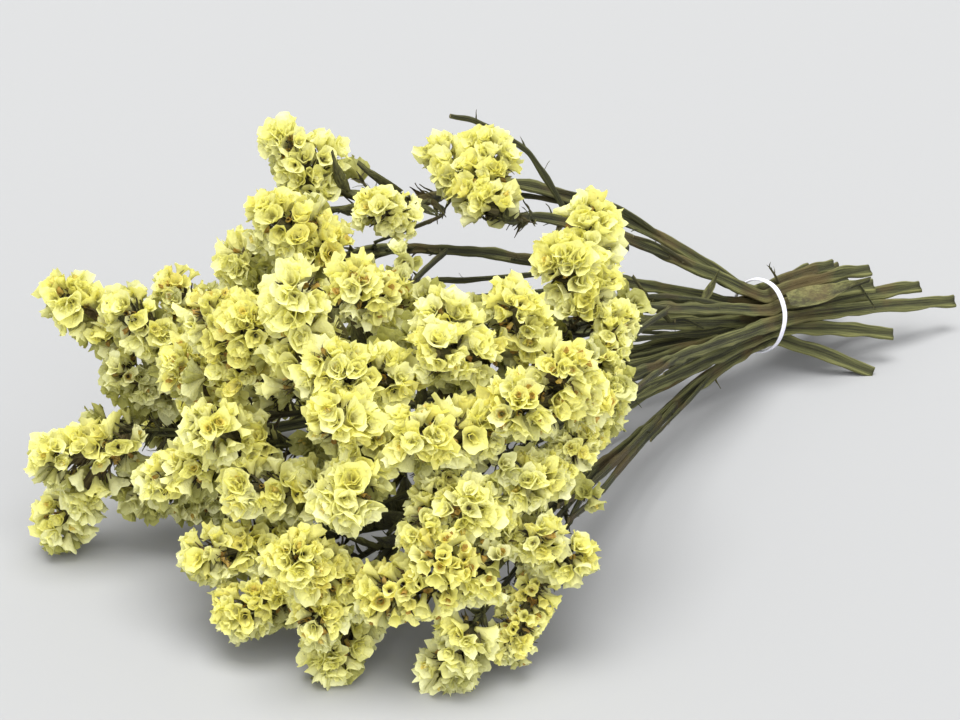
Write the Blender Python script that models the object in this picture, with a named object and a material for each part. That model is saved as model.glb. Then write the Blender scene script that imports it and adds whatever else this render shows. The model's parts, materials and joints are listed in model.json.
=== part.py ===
"""Dried statice: a bunch of winged stems, tied with an elastic band and lying on its side.

+X runs along the bunch toward the cut ends, +Z is up, and the bunch lies on z = 0. Fourteen stems pass
through the band side by side. Past it each one fans out, forks, and carries its heads: dense spikes of
papery funnel florets. Each stem with its branches is one solid, and so is each head.
"""

from __future__ import annotations

import logging
import math
import random
from dataclasses import dataclass

import bmesh
import bpy
from mathutils import Matrix, Vector
from mathutils.bvhtree import BVHTree

LOG = logging.getLogger("dried_statice")

Millimetres = tuple[float, float, float]

MM = 0.001
GAP = 0.3 * MM
WELD = 0.25 * MM
SEED = 3

# Band, and the stems packed in it
BAND_HEIGHT = 34 * MM
BAND_WIDTH = 3.2 * MM
BAND_THICKNESS = 1.3 * MM
BAND_ZONE = 6 * MM
BAND_EDGE = 0.8 * BAND_THICKNESS
BAND_SLANT = 0.12
BAND_REACH = 1.2 * BAND_ZONE
BAND_SIDES = 28
BAND_ROUND = math.cos(math.pi / BAND_SIDES)
BAND_SECTION = (
    (0, -BAND_WIDTH / 2),
    (BAND_EDGE, -BAND_WIDTH / 2),
    (BAND_THICKNESS, 0),
    (BAND_EDGE, BAND_WIDTH / 2),
    (0, BAND_WIDTH / 2),
)
STEM_RADIUS = 4.2 * MM
STEM_WAIST = 0.48
STEM_PITCH = 7.8 * MM
STEM_ROW = 0.866 * STEM_PITCH
STEM_SWELL = 1.5 * MM
STEM_TURN = 1.1

# Taper of a stem, as shares of its radius at the band
FORK_TAPER = 0.66
TIP_TAPER = 0.4
BRANCH_TAPER = 0.46
BRANCH_TIP_TAPER = 0.36
TWIG_TAPER = 0.45
TWIG_TIP_TAPER = 0.25
STRAIGHT_END = 5 * MM
BRANCH_BOW = 4 * MM
BRANCH_BOW_AT = 0.55

# Small pointed bracts along the stems
BRACT_LENGTH = 11 * MM
BRACT_ROOT = 1.9 * MM
BRACT_TIP = 0.35 * MM
BRACT_FLATNESS = 0.55
BRACT_LEAN = math.radians(38)
BRACT_EVERY = 4
BRACT_SIZES = (0.9, 1.2)
TWIG_BRACT_SIZE = 0.6

# Head: a short core, covered by funnel florets larger than life
CORE_RADIUS = 4.8 * MM
CORE_ROOT = 0.5
CORE_TIP = 0.72
SIDE_CORE_ROOT = 0.8
SIDE_CORE_TIP = 0.65
CORE_SINK = 1.5 * MM
FLORET_ROOT = 1.5 * MM
FLORET_RIM = 8.9 * MM
FLORET_LENGTH = 13 * MM
FLORET_SINK = 1.5 * MM
FLORET_CUP = 3.4 * MM
FLORET_SIDES = 5
FLORET_LEAN = math.radians(24)
FLORET_SIZES = (1.08, 0.96, 0.84, 0.74)
FLORET_TOUCH = 0.86
FLORET_VARIATION = (0.94, 1.06)
FLORET_ROLL = 1.2
RIM_RUFFLE = (-1.6 * MM, 1.2 * MM)
RIM_SPREAD = (0.9, 1.08)
ROW_SPACING = 13.5 * MM
ODD_ROW = (0, 80, -80)
EVEN_ROW = (40, -40)
ROW_START = 0.4
ROW_TURN = 9
TIP_FACING = 0.2
NECK = 7 * MM
NECK_BEND = 0.6
TIP_SINK = 7 * MM
CLEARANCE = 1.07

# Middle of the mass of heads: florets face away from it
FAN_MIDDLE = Vector((-235, -25, 62)) * MM

# Block under the floor, and where its middle lies
FLOOR_SIZE = (1, 1, 0.1)
FLOOR_MIDDLE = (-0.15, 0, -0.05)

# Base colour and roughness of each finish
GREEN_STEM = ((0.13, 0.13, 0.055), 0.75)
LEMON_FLORET = ((0.82, 0.78, 0.33), 0.8)
WHITE_BAND = ((0.82, 0.82, 0.88), 0.6)


@dataclass(frozen=True)
class Head:
    """A head at the end of a branch.

    Args:
        name: what the head is called in its node's name.
        base: where its branch ends, in mm.
        tips: the ends of its spikes, in mm.
        size: size of its florets, as a share of the usual one.
    """

    name: str
    base: Millimetres
    tips: tuple[Millimetres, ...]
    size: float = 1.0

    def start(self) -> Vector:
        """Returns the base in metres."""
        return Vector(self.base) * MM

    def ends(self) -> list[Vector]:
        """Returns the spikes' ends in metres."""
        return [Vector(tip) * MM for tip in self.tips]

    def axis(self) -> Vector:
        """Returns the direction of its neck, between its stem's direction and that of its spikes."""
        spikes = sum((end - self.start() for end in self.ends()), Vector()).normalized()
        outward = (self.start() - Vector((0, 0, BAND_HEIGHT))).normalized()
        return (spikes + outward * NECK_BEND).normalized()


@dataclass(frozen=True)
class Stem:
    """A stem from its cut end through the band to its fork, with the heads that it carries.

    Args:
        name: what the stem is called in its node's name.
        place: its place in the band, in pitches across (+Y) and rows up.
        cut_end: where the stem was cut, in mm.
        fork: where its branches part, in mm.
        heads: the heads, the one at the end of the main stem first.
        way: points that the stem passes between the band and the fork, in mm.
        twig: a bare, broken twig, from the stem to its tip, in mm.
    """

    name: str
    place: tuple[float, int]
    cut_end: Millimetres
    fork: Millimetres
    heads: tuple[Head, ...]
    way: tuple[Millimetres, ...] = ()
    twig: tuple[Millimetres, ...] = ()

    def in_band(self, along: float) -> Vector:
        """Returns the stem's point at this distance along the bunch from the band."""
        across, rows = self.place
        return Vector((along, across * STEM_PITCH, BAND_HEIGHT + rows * STEM_ROW))


STEMS = (
    Stem("crest", (0.5, 2), (72, 12, 42), (-213, 25, 140),
         (Head("crest", (-266, 40, 146), ((-274, 54, 175), (-262, 44, 168)), 1.1),
          Head("small_top", (-276, -28, 158), ((-294, -32, 166),), 0.9)),
         way=((-74, 22, 95), (-149, 32, 131))),
    Stem("twin", (-0.5, 2), (70, -15, 48), (-180, -10, 132),
         (Head("twin", (-220, -30, 148), ((-226, 2, 167), (-211, -14, 172)), 1.1),),
         way=((-66, 2, 80), (-110, 4, 104)),
         twig=((-148, -2, 122), (-166, -2, 148), (-178, -2, 162), (-208, -2, 181), (-226, -4, 188))),
    Stem("crown", (0, 1), (52, -1, 39), (-262, -6, 134),
         (Head("crown", (-305, -15, 145), ((-325, -2, 162),), 1.15),
          Head("brown", (-305, -62, 132), ((-332, -62, 150),)),
          Head("behind", (-312, 22, 116), ((-322, 26, 138),))),
         way=((-110, 3, 80), (-190, 2, 112))),
    Stem("tall", (-1, 1), (60, -26, 44), (-160, -50, 92),
         (Head("tall", (-228, -96, 121), ((-211, -78, 157), (-240, -90, 147)), 1.1),
          Head("right_small", (-232, -110, 104), ((-221, -108, 120),), 0.85),
          Head("right_mid", (-268, -104, 118), ((-280, -102, 140),)))),
    Stem("back", (1, 1), (62, 21, 40), (-160, 50, 66),
         (Head("back_top", (-222, 78, 76), ((-248, 94, 96),)),
          Head("back_mid", (-245, 96, 52), ((-276, 106, 68), (-268, 116, 48))),
          Head("back_foot", (-228, 88, 26), ((-254, 110, 26),)))),
    Stem("big", (-1.5, 0), (135, -27, 16), (-180, -75, 72),
         (Head("big", (-262, -126, 100), ((-305, -130, 110), (-285, -134, 122)), 1.1),
          Head("right_edge", (-246, -122, 86), ((-280, -138, 84), (-246, -128, 104)), 0.9),
          Head("right_low", (-278, -130, 74), ((-308, -138, 80),)))),
    Stem("centre", (-0.5, 0), (116, -16, 27), (-225, -55, 98),
         (Head("centre", (-292, -98, 118), ((-324, -104, 130), (-310, -92, 140))),
          Head("upper_mid", (-325, -85, 112), ((-358, -76, 124),), 1.1))),
    Stem("shoulder", (0.5, 0), (80, 8, 34), (-290, -20, 92),
         (Head("shoulder", (-352, -20, 104), ((-362, -8, 132), (-360, -34, 134)), 1.1),
          Head("pale", (-348, -56, 110), ((-350, -52, 150),), 1.15)),
         way=((-150, -4, 66),)),
    Stem("far_left", (1.5, 0), (100, 30, 30), (-290, 38, 76),
         (Head("far_left", (-352, 62, 94), ((-376, 84, 116),), 1.1),
          Head("left_wing", (-348, 44, 100), ((-366, 52, 116),)),
          Head("bud", (-330, 42, 104), ((-343, 48, 122),), 0.9),
          Head("left_under", (-346, 52, 72), ((-366, 58, 84),))),
         way=((-150, 24, 56),)),
    Stem("loose", (-1, -1), (70, -34, 15), (-235, -78, 62),
         (Head("big_centre", (-305, -118, 96), ((-344, -115, 103),), 1.15),
          Head("loose", (-328, -116, 78), ((-350, -126, 64),), 0.8),
          Head("breast", (-335, -92, 92), ((-364, -90, 110), (-370, -104, 80)), 1.1))),
    Stem("left_front", (0, -1), (95, -2, 18), (-285, -26, 56),
         (Head("left_front", (-355, -34, 76), ((-390, -6, 62), (-382, -32, 92)), 1.05),
          Head("mid_left", (-345, -66, 64), ((-376, -44, 66),)),
          Head("shaded", (-345, 4, 76), ((-360, 18, 100),)))),
    Stem("drooping", (1, -1), (88, 18, 20), (-300, 34, 46),
         (Head("drooping", (-370, 50, 56), ((-402, 62, 50), (-396, 72, 12)), 1.06),
          Head("underside", (-335, 25, 24), ((-370, 48, 32),)),
          Head("back_low", (-294, 74, 38), ((-322, 98, 32),)))),
    Stem("front", (-0.5, -2), (46, -41, 0.5), (-250, -100, 40),
         (Head("front_big", (-328, -138, 48), ((-365, -118, 42), (-350, -134, 60)), 1.15),
          Head("front_up", (-312, -128, 62), ((-334, -134, 78),)),
          Head("foot", (-335, -140, 26), ((-344, -134, 6),)),
          Head("front_right", (-292, -132, 44), ((-306, -146, 60), (-288, -152, 46))),
          Head("bud_low", (-300, -140, 30), ((-322, -146, 14),), 0.8)),
         way=((-60, -20, 24), (-150, -54, 27))),
    Stem("low", (0.5, -2), (60, 8, 12), (-290, -60, 30),
         (Head("low_mid", (-362, -100, 42), ((-390, -96, 60), (-384, -100, 30)), 1.1),
          Head("low_fan", (-355, -92, 20), ((-376, -100, 8),)),
          Head("low_left", (-360, -52, 42), ((-394, -40, 40),)),
          Head("low_far", (-365, -70, 26), ((-392, -58, 20),))),
         way=((-80, -4, 18), (-180, -24, 20))),
)


def named(collection: bpy.types.Collection, name: str, mesh: bpy.types.Mesh) -> bpy.types.Object:
    """Returns a new object with this name and mesh, in this collection."""
    obj = bpy.data.objects.new(name, mesh)
    collection.objects.link(obj)
    return obj


def finish_material(name: str, colour: tuple[float, float, float], roughness: float) -> bpy.types.Material:
    """Returns a Principled material with this base colour and roughness."""
    material = bpy.data.materials.new(name)
    material.use_nodes = True
    shader = material.node_tree.nodes["Principled BSDF"]
    shader.inputs["Base Color"].default_value = (*colour, 1)
    shader.inputs["Roughness"].default_value = roughness
    return material


def smooth_path(points: list[Vector], steps: int) -> list[Vector]:
    """Returns a smooth path through these points.

    Args:
        points: the points that the path passes, two or more.
        steps: how many stretches lie between two of them.

    Returns:
        The path's points, the ends included.
    """
    before = points[0] * 2 - points[1]
    after = points[-1] * 2 - points[-2]
    guides = [before, *points, after]
    path = []
    for a, b, c, d in zip(guides, guides[1:], guides[2:], guides[3:]):
        reach = (c - b).length
        leave = (c - a).normalized() * reach / 3
        arrive = (d - b).normalized() * reach / 3
        for step in range(steps):
            t = step / steps
            u = 1 - t
            bend = 3 * u * u * t * (b + leave) + 3 * u * t * t * (c - arrive)
            path.append(u**3 * b + bend + t**3 * c)
    return [*path, points[-1]]


def evenly(first: float, last: float, count: int) -> list[float]:
    """Returns this many values in even steps from the first one up to, but without, the last one."""
    return [first + (last - first) * step / count for step in range(count)]


def wing_profile(collection: bpy.types.Collection, wings: int) -> bpy.types.Object:
    """Returns a section of this many blunt wings, one of them upward, as a guide curve."""
    name = f"profile_{wings}_wings"
    curve = bpy.data.curves.new(name, "CURVE")
    curve.dimensions = "2D"
    spline = curve.splines.new("POLY")
    spline.points.add(2 * wings - 1)
    for corner, point in enumerate(spline.points):
        angle = math.pi / 2 + math.pi * corner / wings
        radius = STEM_RADIUS if corner % 2 == 0 else STEM_RADIUS * STEM_WAIST
        point.co = (radius * math.cos(angle), radius * math.sin(angle), 0, 1)
    spline.use_cyclic_u = True
    profile = bpy.data.objects.new(name, curve)
    profile.hide_render = True
    profile.display_type = "WIRE"
    collection.objects.link(profile)
    return profile


def swept(
    collection: bpy.types.Collection,
    name: str,
    path: list[Vector],
    radii: list[float],
    profile: bpy.types.Object | None = None,
    twist: list[float] | None = None,
) -> bpy.types.Object:
    """Returns a closed tube along a path, as a mesh. One with a twist of its own starts upright.

    Args:
        collection: where the tube goes.
        name: the tube's name.
        path: the points of its middle line.
        radii: the radius at each point, or the share of the profile's size.
        profile: the section, if it isn't a round one.
        twist: the turn of the section at each point, in radians.
    """
    curve = bpy.data.curves.new(name, "CURVE")
    curve.dimensions = "3D"
    curve.twist_mode = "Z_UP" if twist else "MINIMUM"
    curve.use_fill_caps = True
    if profile:
        curve.bevel_mode = "OBJECT"
        curve.bevel_object = profile
    else:
        curve.bevel_depth = 1.0
        curve.bevel_resolution = 1
    spline = curve.splines.new("POLY")
    spline.points.add(len(path) - 1)
    for index, point in enumerate(spline.points):
        point.co = (*path[index], 1)
        point.radius = radii[index]
        point.tilt = twist[index] if twist else 0.0
    guide = bpy.data.objects.new(name + "_line", curve)
    collection.objects.link(guide)
    bpy.context.view_layer.update()
    mesh = bpy.data.meshes.new_from_object(guide.evaluated_get(bpy.context.evaluated_depsgraph_get()))
    bpy.data.objects.remove(guide)
    bpy.data.curves.remove(curve)
    tidy = bmesh.new()
    tidy.from_mesh(mesh)
    bmesh.ops.remove_doubles(tidy, verts=tidy.verts, dist=0.00001)
    bmesh.ops.recalc_face_normals(tidy, faces=tidy.faces)
    tidy.to_mesh(mesh)
    tidy.free()
    return named(collection, name, mesh)


def largest_shell(shape: bmesh.types.BMesh) -> None:
    """Fills the pockets that florets close off between them: of a mesh's shells only the largest stays."""
    shells: list[list[bmesh.types.BMVert]] = []
    waiting = set(shape.verts)
    while waiting:
        shell = [waiting.pop()]
        for vert in shell:
            for edge in vert.link_edges:
                far = edge.other_vert(vert)
                if far in waiting:
                    waiting.remove(far)
                    shell.append(far)
        shells.append(shell)
    for shell in sorted(shells, key=len)[:-1]:
        bmesh.ops.delete(shape, geom=shell, context="VERTS")


def tidied(mesh: bpy.types.Mesh) -> bool:
    """Rids a joined mesh of its pockets and of its shortest edges.

    Args:
        mesh: the mesh, which is changed only where it stays closed.

    Returns:
        Whether the shortest edges could go.
    """
    for weld in (WELD, 0):
        shape = bmesh.new()
        shape.from_mesh(mesh)
        largest_shell(shape)
        bmesh.ops.triangulate(shape, faces=shape.faces)
        if weld:
            bmesh.ops.remove_doubles(shape, verts=shape.verts, dist=weld)
            bmesh.ops.dissolve_degenerate(shape, edges=shape.edges, dist=weld / 4)
            bmesh.ops.triangulate(shape, faces=shape.faces)
            largest_shell(shape)
        closed = all(len(edge.link_faces) == 2 for edge in shape.edges)
        if closed:
            shape.to_mesh(mesh)
        shape.free()
        if closed:
            return weld > 0
    return False


def joined(
    collection: bpy.types.Collection,
    name: str,
    body: bpy.types.Object,
    repeats: bpy.types.Collection,
    floor: bpy.types.Object,
    material: bpy.types.Material,
) -> bpy.types.Object:
    """Returns the Boolean union of a body with its repeats, cut flat where it meets the floor.

    Args:
        collection: where the joined solid goes.
        name: its node's name.
        body: the solid that the repeats are joined to.
        repeats: their collection, which is emptied.
        floor: the block under the floor.
        material: the solid's finish.
    """
    bpy.context.view_layer.update()
    union = body.modifiers.new("join", "BOOLEAN")
    union.operation = "UNION"
    union.operand_type = "COLLECTION"
    union.collection = repeats
    union.solver = "EXACT"
    if min((obj.matrix_world @ v.co).z for obj in (body, *repeats.objects) for v in obj.data.vertices) < 0:
        cut = body.modifiers.new("floor", "BOOLEAN")
        cut.operation = "DIFFERENCE"
        cut.object = floor
        cut.solver = "EXACT"
    bpy.context.view_layer.update()
    mesh = bpy.data.meshes.new_from_object(body.evaluated_get(bpy.context.evaluated_depsgraph_get()))
    for obj in (body, *repeats.objects):
        bpy.data.objects.remove(obj)
    if not tidied(mesh):
        LOG.info("%s keeps its shortest edges", name)
    mesh.materials.clear()
    mesh.materials.append(material)
    return named(collection, name, mesh)


def aimed(origin: Vector, direction: Vector, roll: float = 0.0) -> Matrix:
    """Returns the placement of a shape that stands along Z: at this point, along this direction."""
    turn = direction.to_track_quat("Z", "Y").to_matrix().to_4x4()
    return Matrix.Translation(origin) @ turn @ Matrix.Rotation(roll, 4, "Z")


def bract(collection: bpy.types.Collection, origin: Vector, direction: Vector, size: float = 1.0) -> None:
    """Adds one pointed bract with its root at this point."""
    shape = bmesh.new()
    bmesh.ops.create_cone(
        shape, cap_ends=True, segments=3, radius1=BRACT_ROOT, radius2=BRACT_TIP, depth=BRACT_LENGTH
    )
    bmesh.ops.translate(shape, verts=shape.verts, vec=(0, 0, BRACT_LENGTH / 2))
    bmesh.ops.scale(shape, verts=shape.verts, vec=(size, size * BRACT_FLATNESS, size))
    bmesh.ops.transform(shape, matrix=aimed(origin, direction), verts=shape.verts)
    mesh = bpy.data.meshes.new("bract")
    shape.to_mesh(mesh)
    shape.free()
    named(collection, "bract", mesh)


def floret_mesh(chance: random.Random, size: float) -> bpy.types.Mesh:
    """Returns one funnel floret along Z: a narrow root and a wide ruffled rim with a sunk centre."""
    shape = bmesh.new()
    bmesh.ops.create_cone(
        shape,
        cap_ends=True,
        segments=FLORET_SIDES,
        radius1=FLORET_ROOT,
        radius2=FLORET_RIM * size,
        depth=FLORET_LENGTH * size,
    )
    bmesh.ops.translate(shape, verts=shape.verts, vec=(0, 0, FLORET_LENGTH * size / 2))
    rim = [v for v in shape.verts if v.co.z > FLORET_LENGTH * size / 2]
    top = next(face for face in shape.faces if all(v in rim for v in face.verts))
    centre = bmesh.ops.poke(shape, faces=[top])["verts"][0]
    centre.co.z -= FLORET_CUP * size
    for vert in rim:
        vert.co.z += chance.uniform(*RIM_RUFFLE)
        vert.co.x *= chance.uniform(*RIM_SPREAD)
        vert.co.y *= chance.uniform(*RIM_SPREAD)
    mesh = bpy.data.meshes.new("floret")
    shape.to_mesh(mesh)
    shape.free()
    return mesh


def surface(obj: bpy.types.Object) -> BVHTree:
    """Returns the search tree of an object's faces in world space."""
    points = [obj.matrix_world @ v.co for v in obj.data.vertices]
    return BVHTree.FromPolygons(points, [tuple(p.vertices) for p in obj.data.polygons])


def is_clear(mesh: bpy.types.Mesh, placement: Matrix, others: list[BVHTree], growth: float) -> bool:
    """Tells whether a shape, grown by this factor, stays clear of all these surfaces."""
    points = [placement @ (v.co * growth) for v in mesh.vertices]
    own = BVHTree.FromPolygons(points, [tuple(p.vertices) for p in mesh.polygons])
    return not any(own.overlap(other) for other in others)


def build_stem(
    stem: Stem,
    collection: bpy.types.Collection,
    repeats: bpy.types.Collection,
    profiles: list[bpy.types.Object],
    floor: bpy.types.Object,
    material: bpy.types.Material,
) -> bpy.types.Object:
    """Returns a stem with its branches, bracts and twig as one solid.

    Args:
        stem: the stem.
        collection: where the stem goes.
        repeats: an empty collection for its branches and bracts.
        profiles: the sections of a stem and of a branch.
        floor: the block under the floor.
        material: the stem's finish.
    """
    stem_profile, branch_profile = profiles
    chance = random.Random(f"{stem.name} {SEED}")
    first = stem.heads[0]
    butt = first.start() - first.axis() * GAP
    lead = butt - first.axis() * STRAIGHT_END
    fork = Vector(stem.fork) * MM
    way = [Vector(point) * MM for point in stem.way]
    cut_end = Vector(stem.cut_end) * MM
    half_way = cut_end.lerp(stem.in_band(BAND_ZONE), 0.5) + Vector((0, 0, STEM_SWELL))
    outer = smooth_path([cut_end, half_way, stem.in_band(BAND_ZONE)], 2)
    inner = smooth_path([stem.in_band(-BAND_ZONE), *way, fork, lead], 2 if way else 3)
    path = [*outer, *inner, butt]
    start = len(outer)
    fork_at = min(range(len(path)), key=lambda index: (path[index] - fork).length)
    radii = [1.0] * start
    radii += evenly(1, FORK_TAPER, fork_at - start)
    radii += evenly(FORK_TAPER, TIP_TAPER, len(path) - 1 - fork_at)
    radii.append(TIP_TAPER)
    turn = chance.uniform(-STEM_TURN, STEM_TURN)
    twist = [turn * max(0, index - start) / len(path) for index in range(len(path))]
    body = swept(collection, "main", path, radii, stem_profile, twist)
    for head in stem.heads[1:]:
        leave = path[max(start + 1, fork_at - chance.choice((0, 1)))]
        end = head.start() - head.axis() * GAP
        bow = (leave - path[start + 1]).normalized() * BRANCH_BOW
        middle = leave.lerp(end, BRANCH_BOW_AT) + bow
        branch = [*smooth_path([leave, middle, end - head.axis() * STRAIGHT_END], 2), end]
        swept(repeats, "branch", branch, evenly(BRANCH_TAPER, BRANCH_TIP_TAPER, len(branch)), branch_profile)
    if stem.twig:
        twig = [Vector(point) * MM for point in stem.twig]
        swept(repeats, "twig", twig, evenly(TWIG_TAPER, TWIG_TIP_TAPER, len(twig)), branch_profile)
        for near, far in zip(twig[1:], twig[2:]):
            side = (far - near).normalized().cross(Vector((0, 1, 0))) * chance.choice((-1, 1))
            bract(repeats, near, (far - near).normalized() + side, TWIG_BRACT_SIZE)
    for index in range(start + 2, len(path) - 1, BRACT_EVERY):
        along = (path[index + 1] - path[index]).normalized()
        side = along.orthogonal().normalized()
        side.rotate(Matrix.Rotation(chance.uniform(0, math.tau), 3, along))
        lean = along * math.cos(BRACT_LEAN) + side * math.sin(BRACT_LEAN)
        bract(repeats, path[index], lean, chance.uniform(*BRACT_SIZES))
    return joined(collection, "stem_" + stem.name, body, repeats, floor, material)


def build_cores(head: Head, cores: bpy.types.Collection) -> list[bpy.types.Object]:
    """Returns the cores of a head's spikes, which all spring from one neck; the first one holds the neck."""
    base = head.start()
    neck = base + head.axis() * NECK
    first, *others = head.ends()
    widths = [CORE_RADIUS * CORE_ROOT, CORE_RADIUS, CORE_RADIUS * CORE_TIP]
    made = [swept(cores, "core", [base, neck, first], widths)]
    for tip in others:
        root = neck - (tip - neck).normalized() * CORE_SINK
        widths = [CORE_RADIUS * SIDE_CORE_ROOT, CORE_RADIUS * SIDE_CORE_TIP]
        made.append(swept(cores, "core", [root, tip], widths))
    return made


def floret_spots(head: Head, chance: random.Random) -> list[tuple[Vector, Vector]]:
    """Returns where a head's florets root in its cores, and where they face."""
    neck = head.start() + head.axis() * NECK
    spots = []
    for tip in head.ends():
        spike = (tip - neck).normalized()
        reach = (tip - neck).length + NECK / 2
        facing = (neck.lerp(tip, 0.5) - FAN_MIDDLE).normalized()
        facing = (facing - facing.project(spike)).normalized()
        spots.append((tip - spike * TIP_SINK, spike + facing * TIP_FACING))
        rows = max(1, round(reach / (ROW_SPACING * head.size)))
        for row in range(rows):
            root = tip - spike * reach * (1 - (row + ROW_START) / rows)
            for angle in ODD_ROW if row % 2 == 0 else EVEN_ROW:
                out = facing.copy()
                out.rotate(Matrix.Rotation(math.radians(angle + chance.uniform(-ROW_TURN, ROW_TURN)), 3, spike))
                spots.append((root, out * math.cos(FLORET_LEAN) + spike * math.sin(FLORET_LEAN)))
    return spots


def build_head(
    head: Head,
    cores: list[bpy.types.Object],
    collection: bpy.types.Collection,
    repeats: bpy.types.Collection,
    floor: bpy.types.Object,
    material: bpy.types.Material,
    others: list[BVHTree],
) -> bpy.types.Object:
    """Returns a head as one solid: its cores with the florets that fit among the other solids.

    Args:
        head: the head.
        cores: its spikes' cores.
        collection: where the head goes.
        repeats: an empty collection for its florets and side cores.
        floor: the block under the floor.
        material: the head's finish.
        others: the surfaces that its florets stay clear of.
    """
    chance = random.Random(f"{head.name} {SEED}")
    rims: list[tuple[Vector, float]] = []
    spots = floret_spots(head, chance)
    for root, direction in spots:
        size = head.size * chance.uniform(*FLORET_VARIATION)
        sunk = root + direction.normalized() * FLORET_SINK
        placement = aimed(sunk, direction, chance.uniform(0, FLORET_ROLL))
        for share in FLORET_SIZES:
            radius = FLORET_RIM * size * share
            middle = placement @ Vector((0, 0, FLORET_LENGTH * size * share))
            mesh = floret_mesh(chance, size * share)
            crowded = any((middle - rim).length < FLORET_TOUCH * (radius + other) for rim, other in rims)
            if not crowded and is_clear(mesh, placement, others, CLEARANCE):
                named(repeats, "floret", mesh).matrix_world = placement
                rims.append((middle, radius))
                break
    body, *side_cores = cores
    for core in side_cores:
        repeats.objects.link(core)
    result = joined(collection, "head_" + head.name, body, repeats, floor, material)
    LOG.info("head %s: %d florets of %d", head.name, len(rims), len(spots))
    return result


def build_band(
    stems: list[bpy.types.Object], collection: bpy.types.Collection, material: bpy.types.Material
) -> bpy.types.Object:
    """Returns the elastic band: a flat loop round the stems, as tight as their wings let it."""
    near = [v.co for stem in stems for v in stem.data.vertices if abs(v.co.x) < BAND_REACH]
    low, high = (Vector((0, pick(co.y for co in near), pick(co.z for co in near))) for pick in (min, max))
    middle = (low + high) / 2
    half = (high - low) / 2
    stretch = max(math.hypot((co.y - middle.y) / half.y, (co.z - middle.z) / half.z) for co in near)
    loop = bmesh.new()
    rings = []
    for offset, along in BAND_SECTION:
        ring = []
        for step in range(BAND_SIDES):
            angle = math.tau * step / BAND_SIDES
            y = (half.y * stretch + GAP + offset) * math.cos(angle) / BAND_ROUND
            z = (half.z * stretch + GAP + offset) * math.sin(angle) / BAND_ROUND
            ring.append(loop.verts.new(middle + Vector((along + BAND_SLANT * z, y, z))))
        rings.append(ring)
    for first, second in zip(rings, rings[1:] + rings[:1]):
        for i in range(BAND_SIDES):
            j = (i + 1) % BAND_SIDES
            loop.faces.new((first[i], first[j], second[j], second[i]))
    bmesh.ops.recalc_face_normals(loop, faces=loop.faces)
    mesh = bpy.data.meshes.new("band")
    loop.to_mesh(mesh)
    loop.free()
    mesh.materials.append(material)
    return named(collection, "band", mesh)


def centre_on_origin(parts: list[bpy.types.Object]) -> None:
    """Moves the parts together so that the middle of their box lies over the origin."""
    points = [v.co for part in parts for v in part.data.vertices]
    across = [(min(p[axis] for p in points) + max(p[axis] for p in points)) / 2 for axis in (0, 1)]
    for part in parts:
        part.location = (-across[0], -across[1], 0)


def main() -> None:
    """Builds the bunch."""
    logging.basicConfig(level=logging.INFO, format="%(message)s")
    for obj in list(bpy.data.objects):
        bpy.data.objects.remove(obj)
    bunch = bpy.data.collections.new("dried_statice")
    tools = bpy.data.collections.new("cutters")
    repeats = bpy.data.collections.new("repeats")
    for collection in (bunch, tools, repeats):
        bpy.context.scene.collection.children.link(collection)

    green = finish_material("dried stem", *GREEN_STEM)
    lemon = finish_material("papery floret", *LEMON_FLORET)
    white = finish_material("elastic band", *WHITE_BAND)

    bpy.ops.mesh.primitive_cube_add(size=1, location=FLOOR_MIDDLE)
    floor = bpy.context.active_object
    floor.name = "floor_block"
    floor.scale = FLOOR_SIZE
    floor.hide_render = True
    floor.display_type = "WIRE"
    for home in list(floor.users_collection):
        home.objects.unlink(floor)
    tools.objects.link(floor)
    profiles = [wing_profile(tools, 3), wing_profile(tools, 2)]

    stems = [build_stem(stem, bunch, repeats, profiles, floor, green) for stem in STEMS]
    band = build_band(stems, bunch, white)
    grown = [head for stem in STEMS for head in stem.heads]
    cores = {head.name: build_cores(head, tools) for head in grown}
    taken = {name: [surface(core) for core in made] for name, made in cores.items()}
    stem_surfaces = [surface(obj) for obj in stems]
    heads = []
    for head in grown:
        others = [tree for name, trees in taken.items() if name != head.name for tree in trees]
        built = build_head(head, cores[head.name], bunch, repeats, floor, lemon, stem_surfaces + others)
        taken[head.name] = [surface(built)]
        heads.append(built)
    centre_on_origin([*stems, band, *heads])
    bpy.data.collections.remove(repeats)
    faces = sum(len(p.vertices) - 2 for obj in (*stems, band, *heads) for p in obj.data.polygons)
    LOG.info("%d nodes, %d triangles", len(stems) + len(heads) + 1, faces)


if __name__ == "__main__":
    main()
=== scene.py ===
"""Looks of the dried statice: papery calyces, winged stalks and an elastic band.

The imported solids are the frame. Each head and each stalk is grown again here with fine pieces along the same
lines, in the same place: +X toward the cut ends, +Z up, the bunch lying on z = 0.
"""

from __future__ import annotations

import json
import logging
import math
import random
from dataclasses import dataclass, field
from enum import Enum

import bmesh
import bpy
from mathutils import Matrix, Vector, noise

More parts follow.
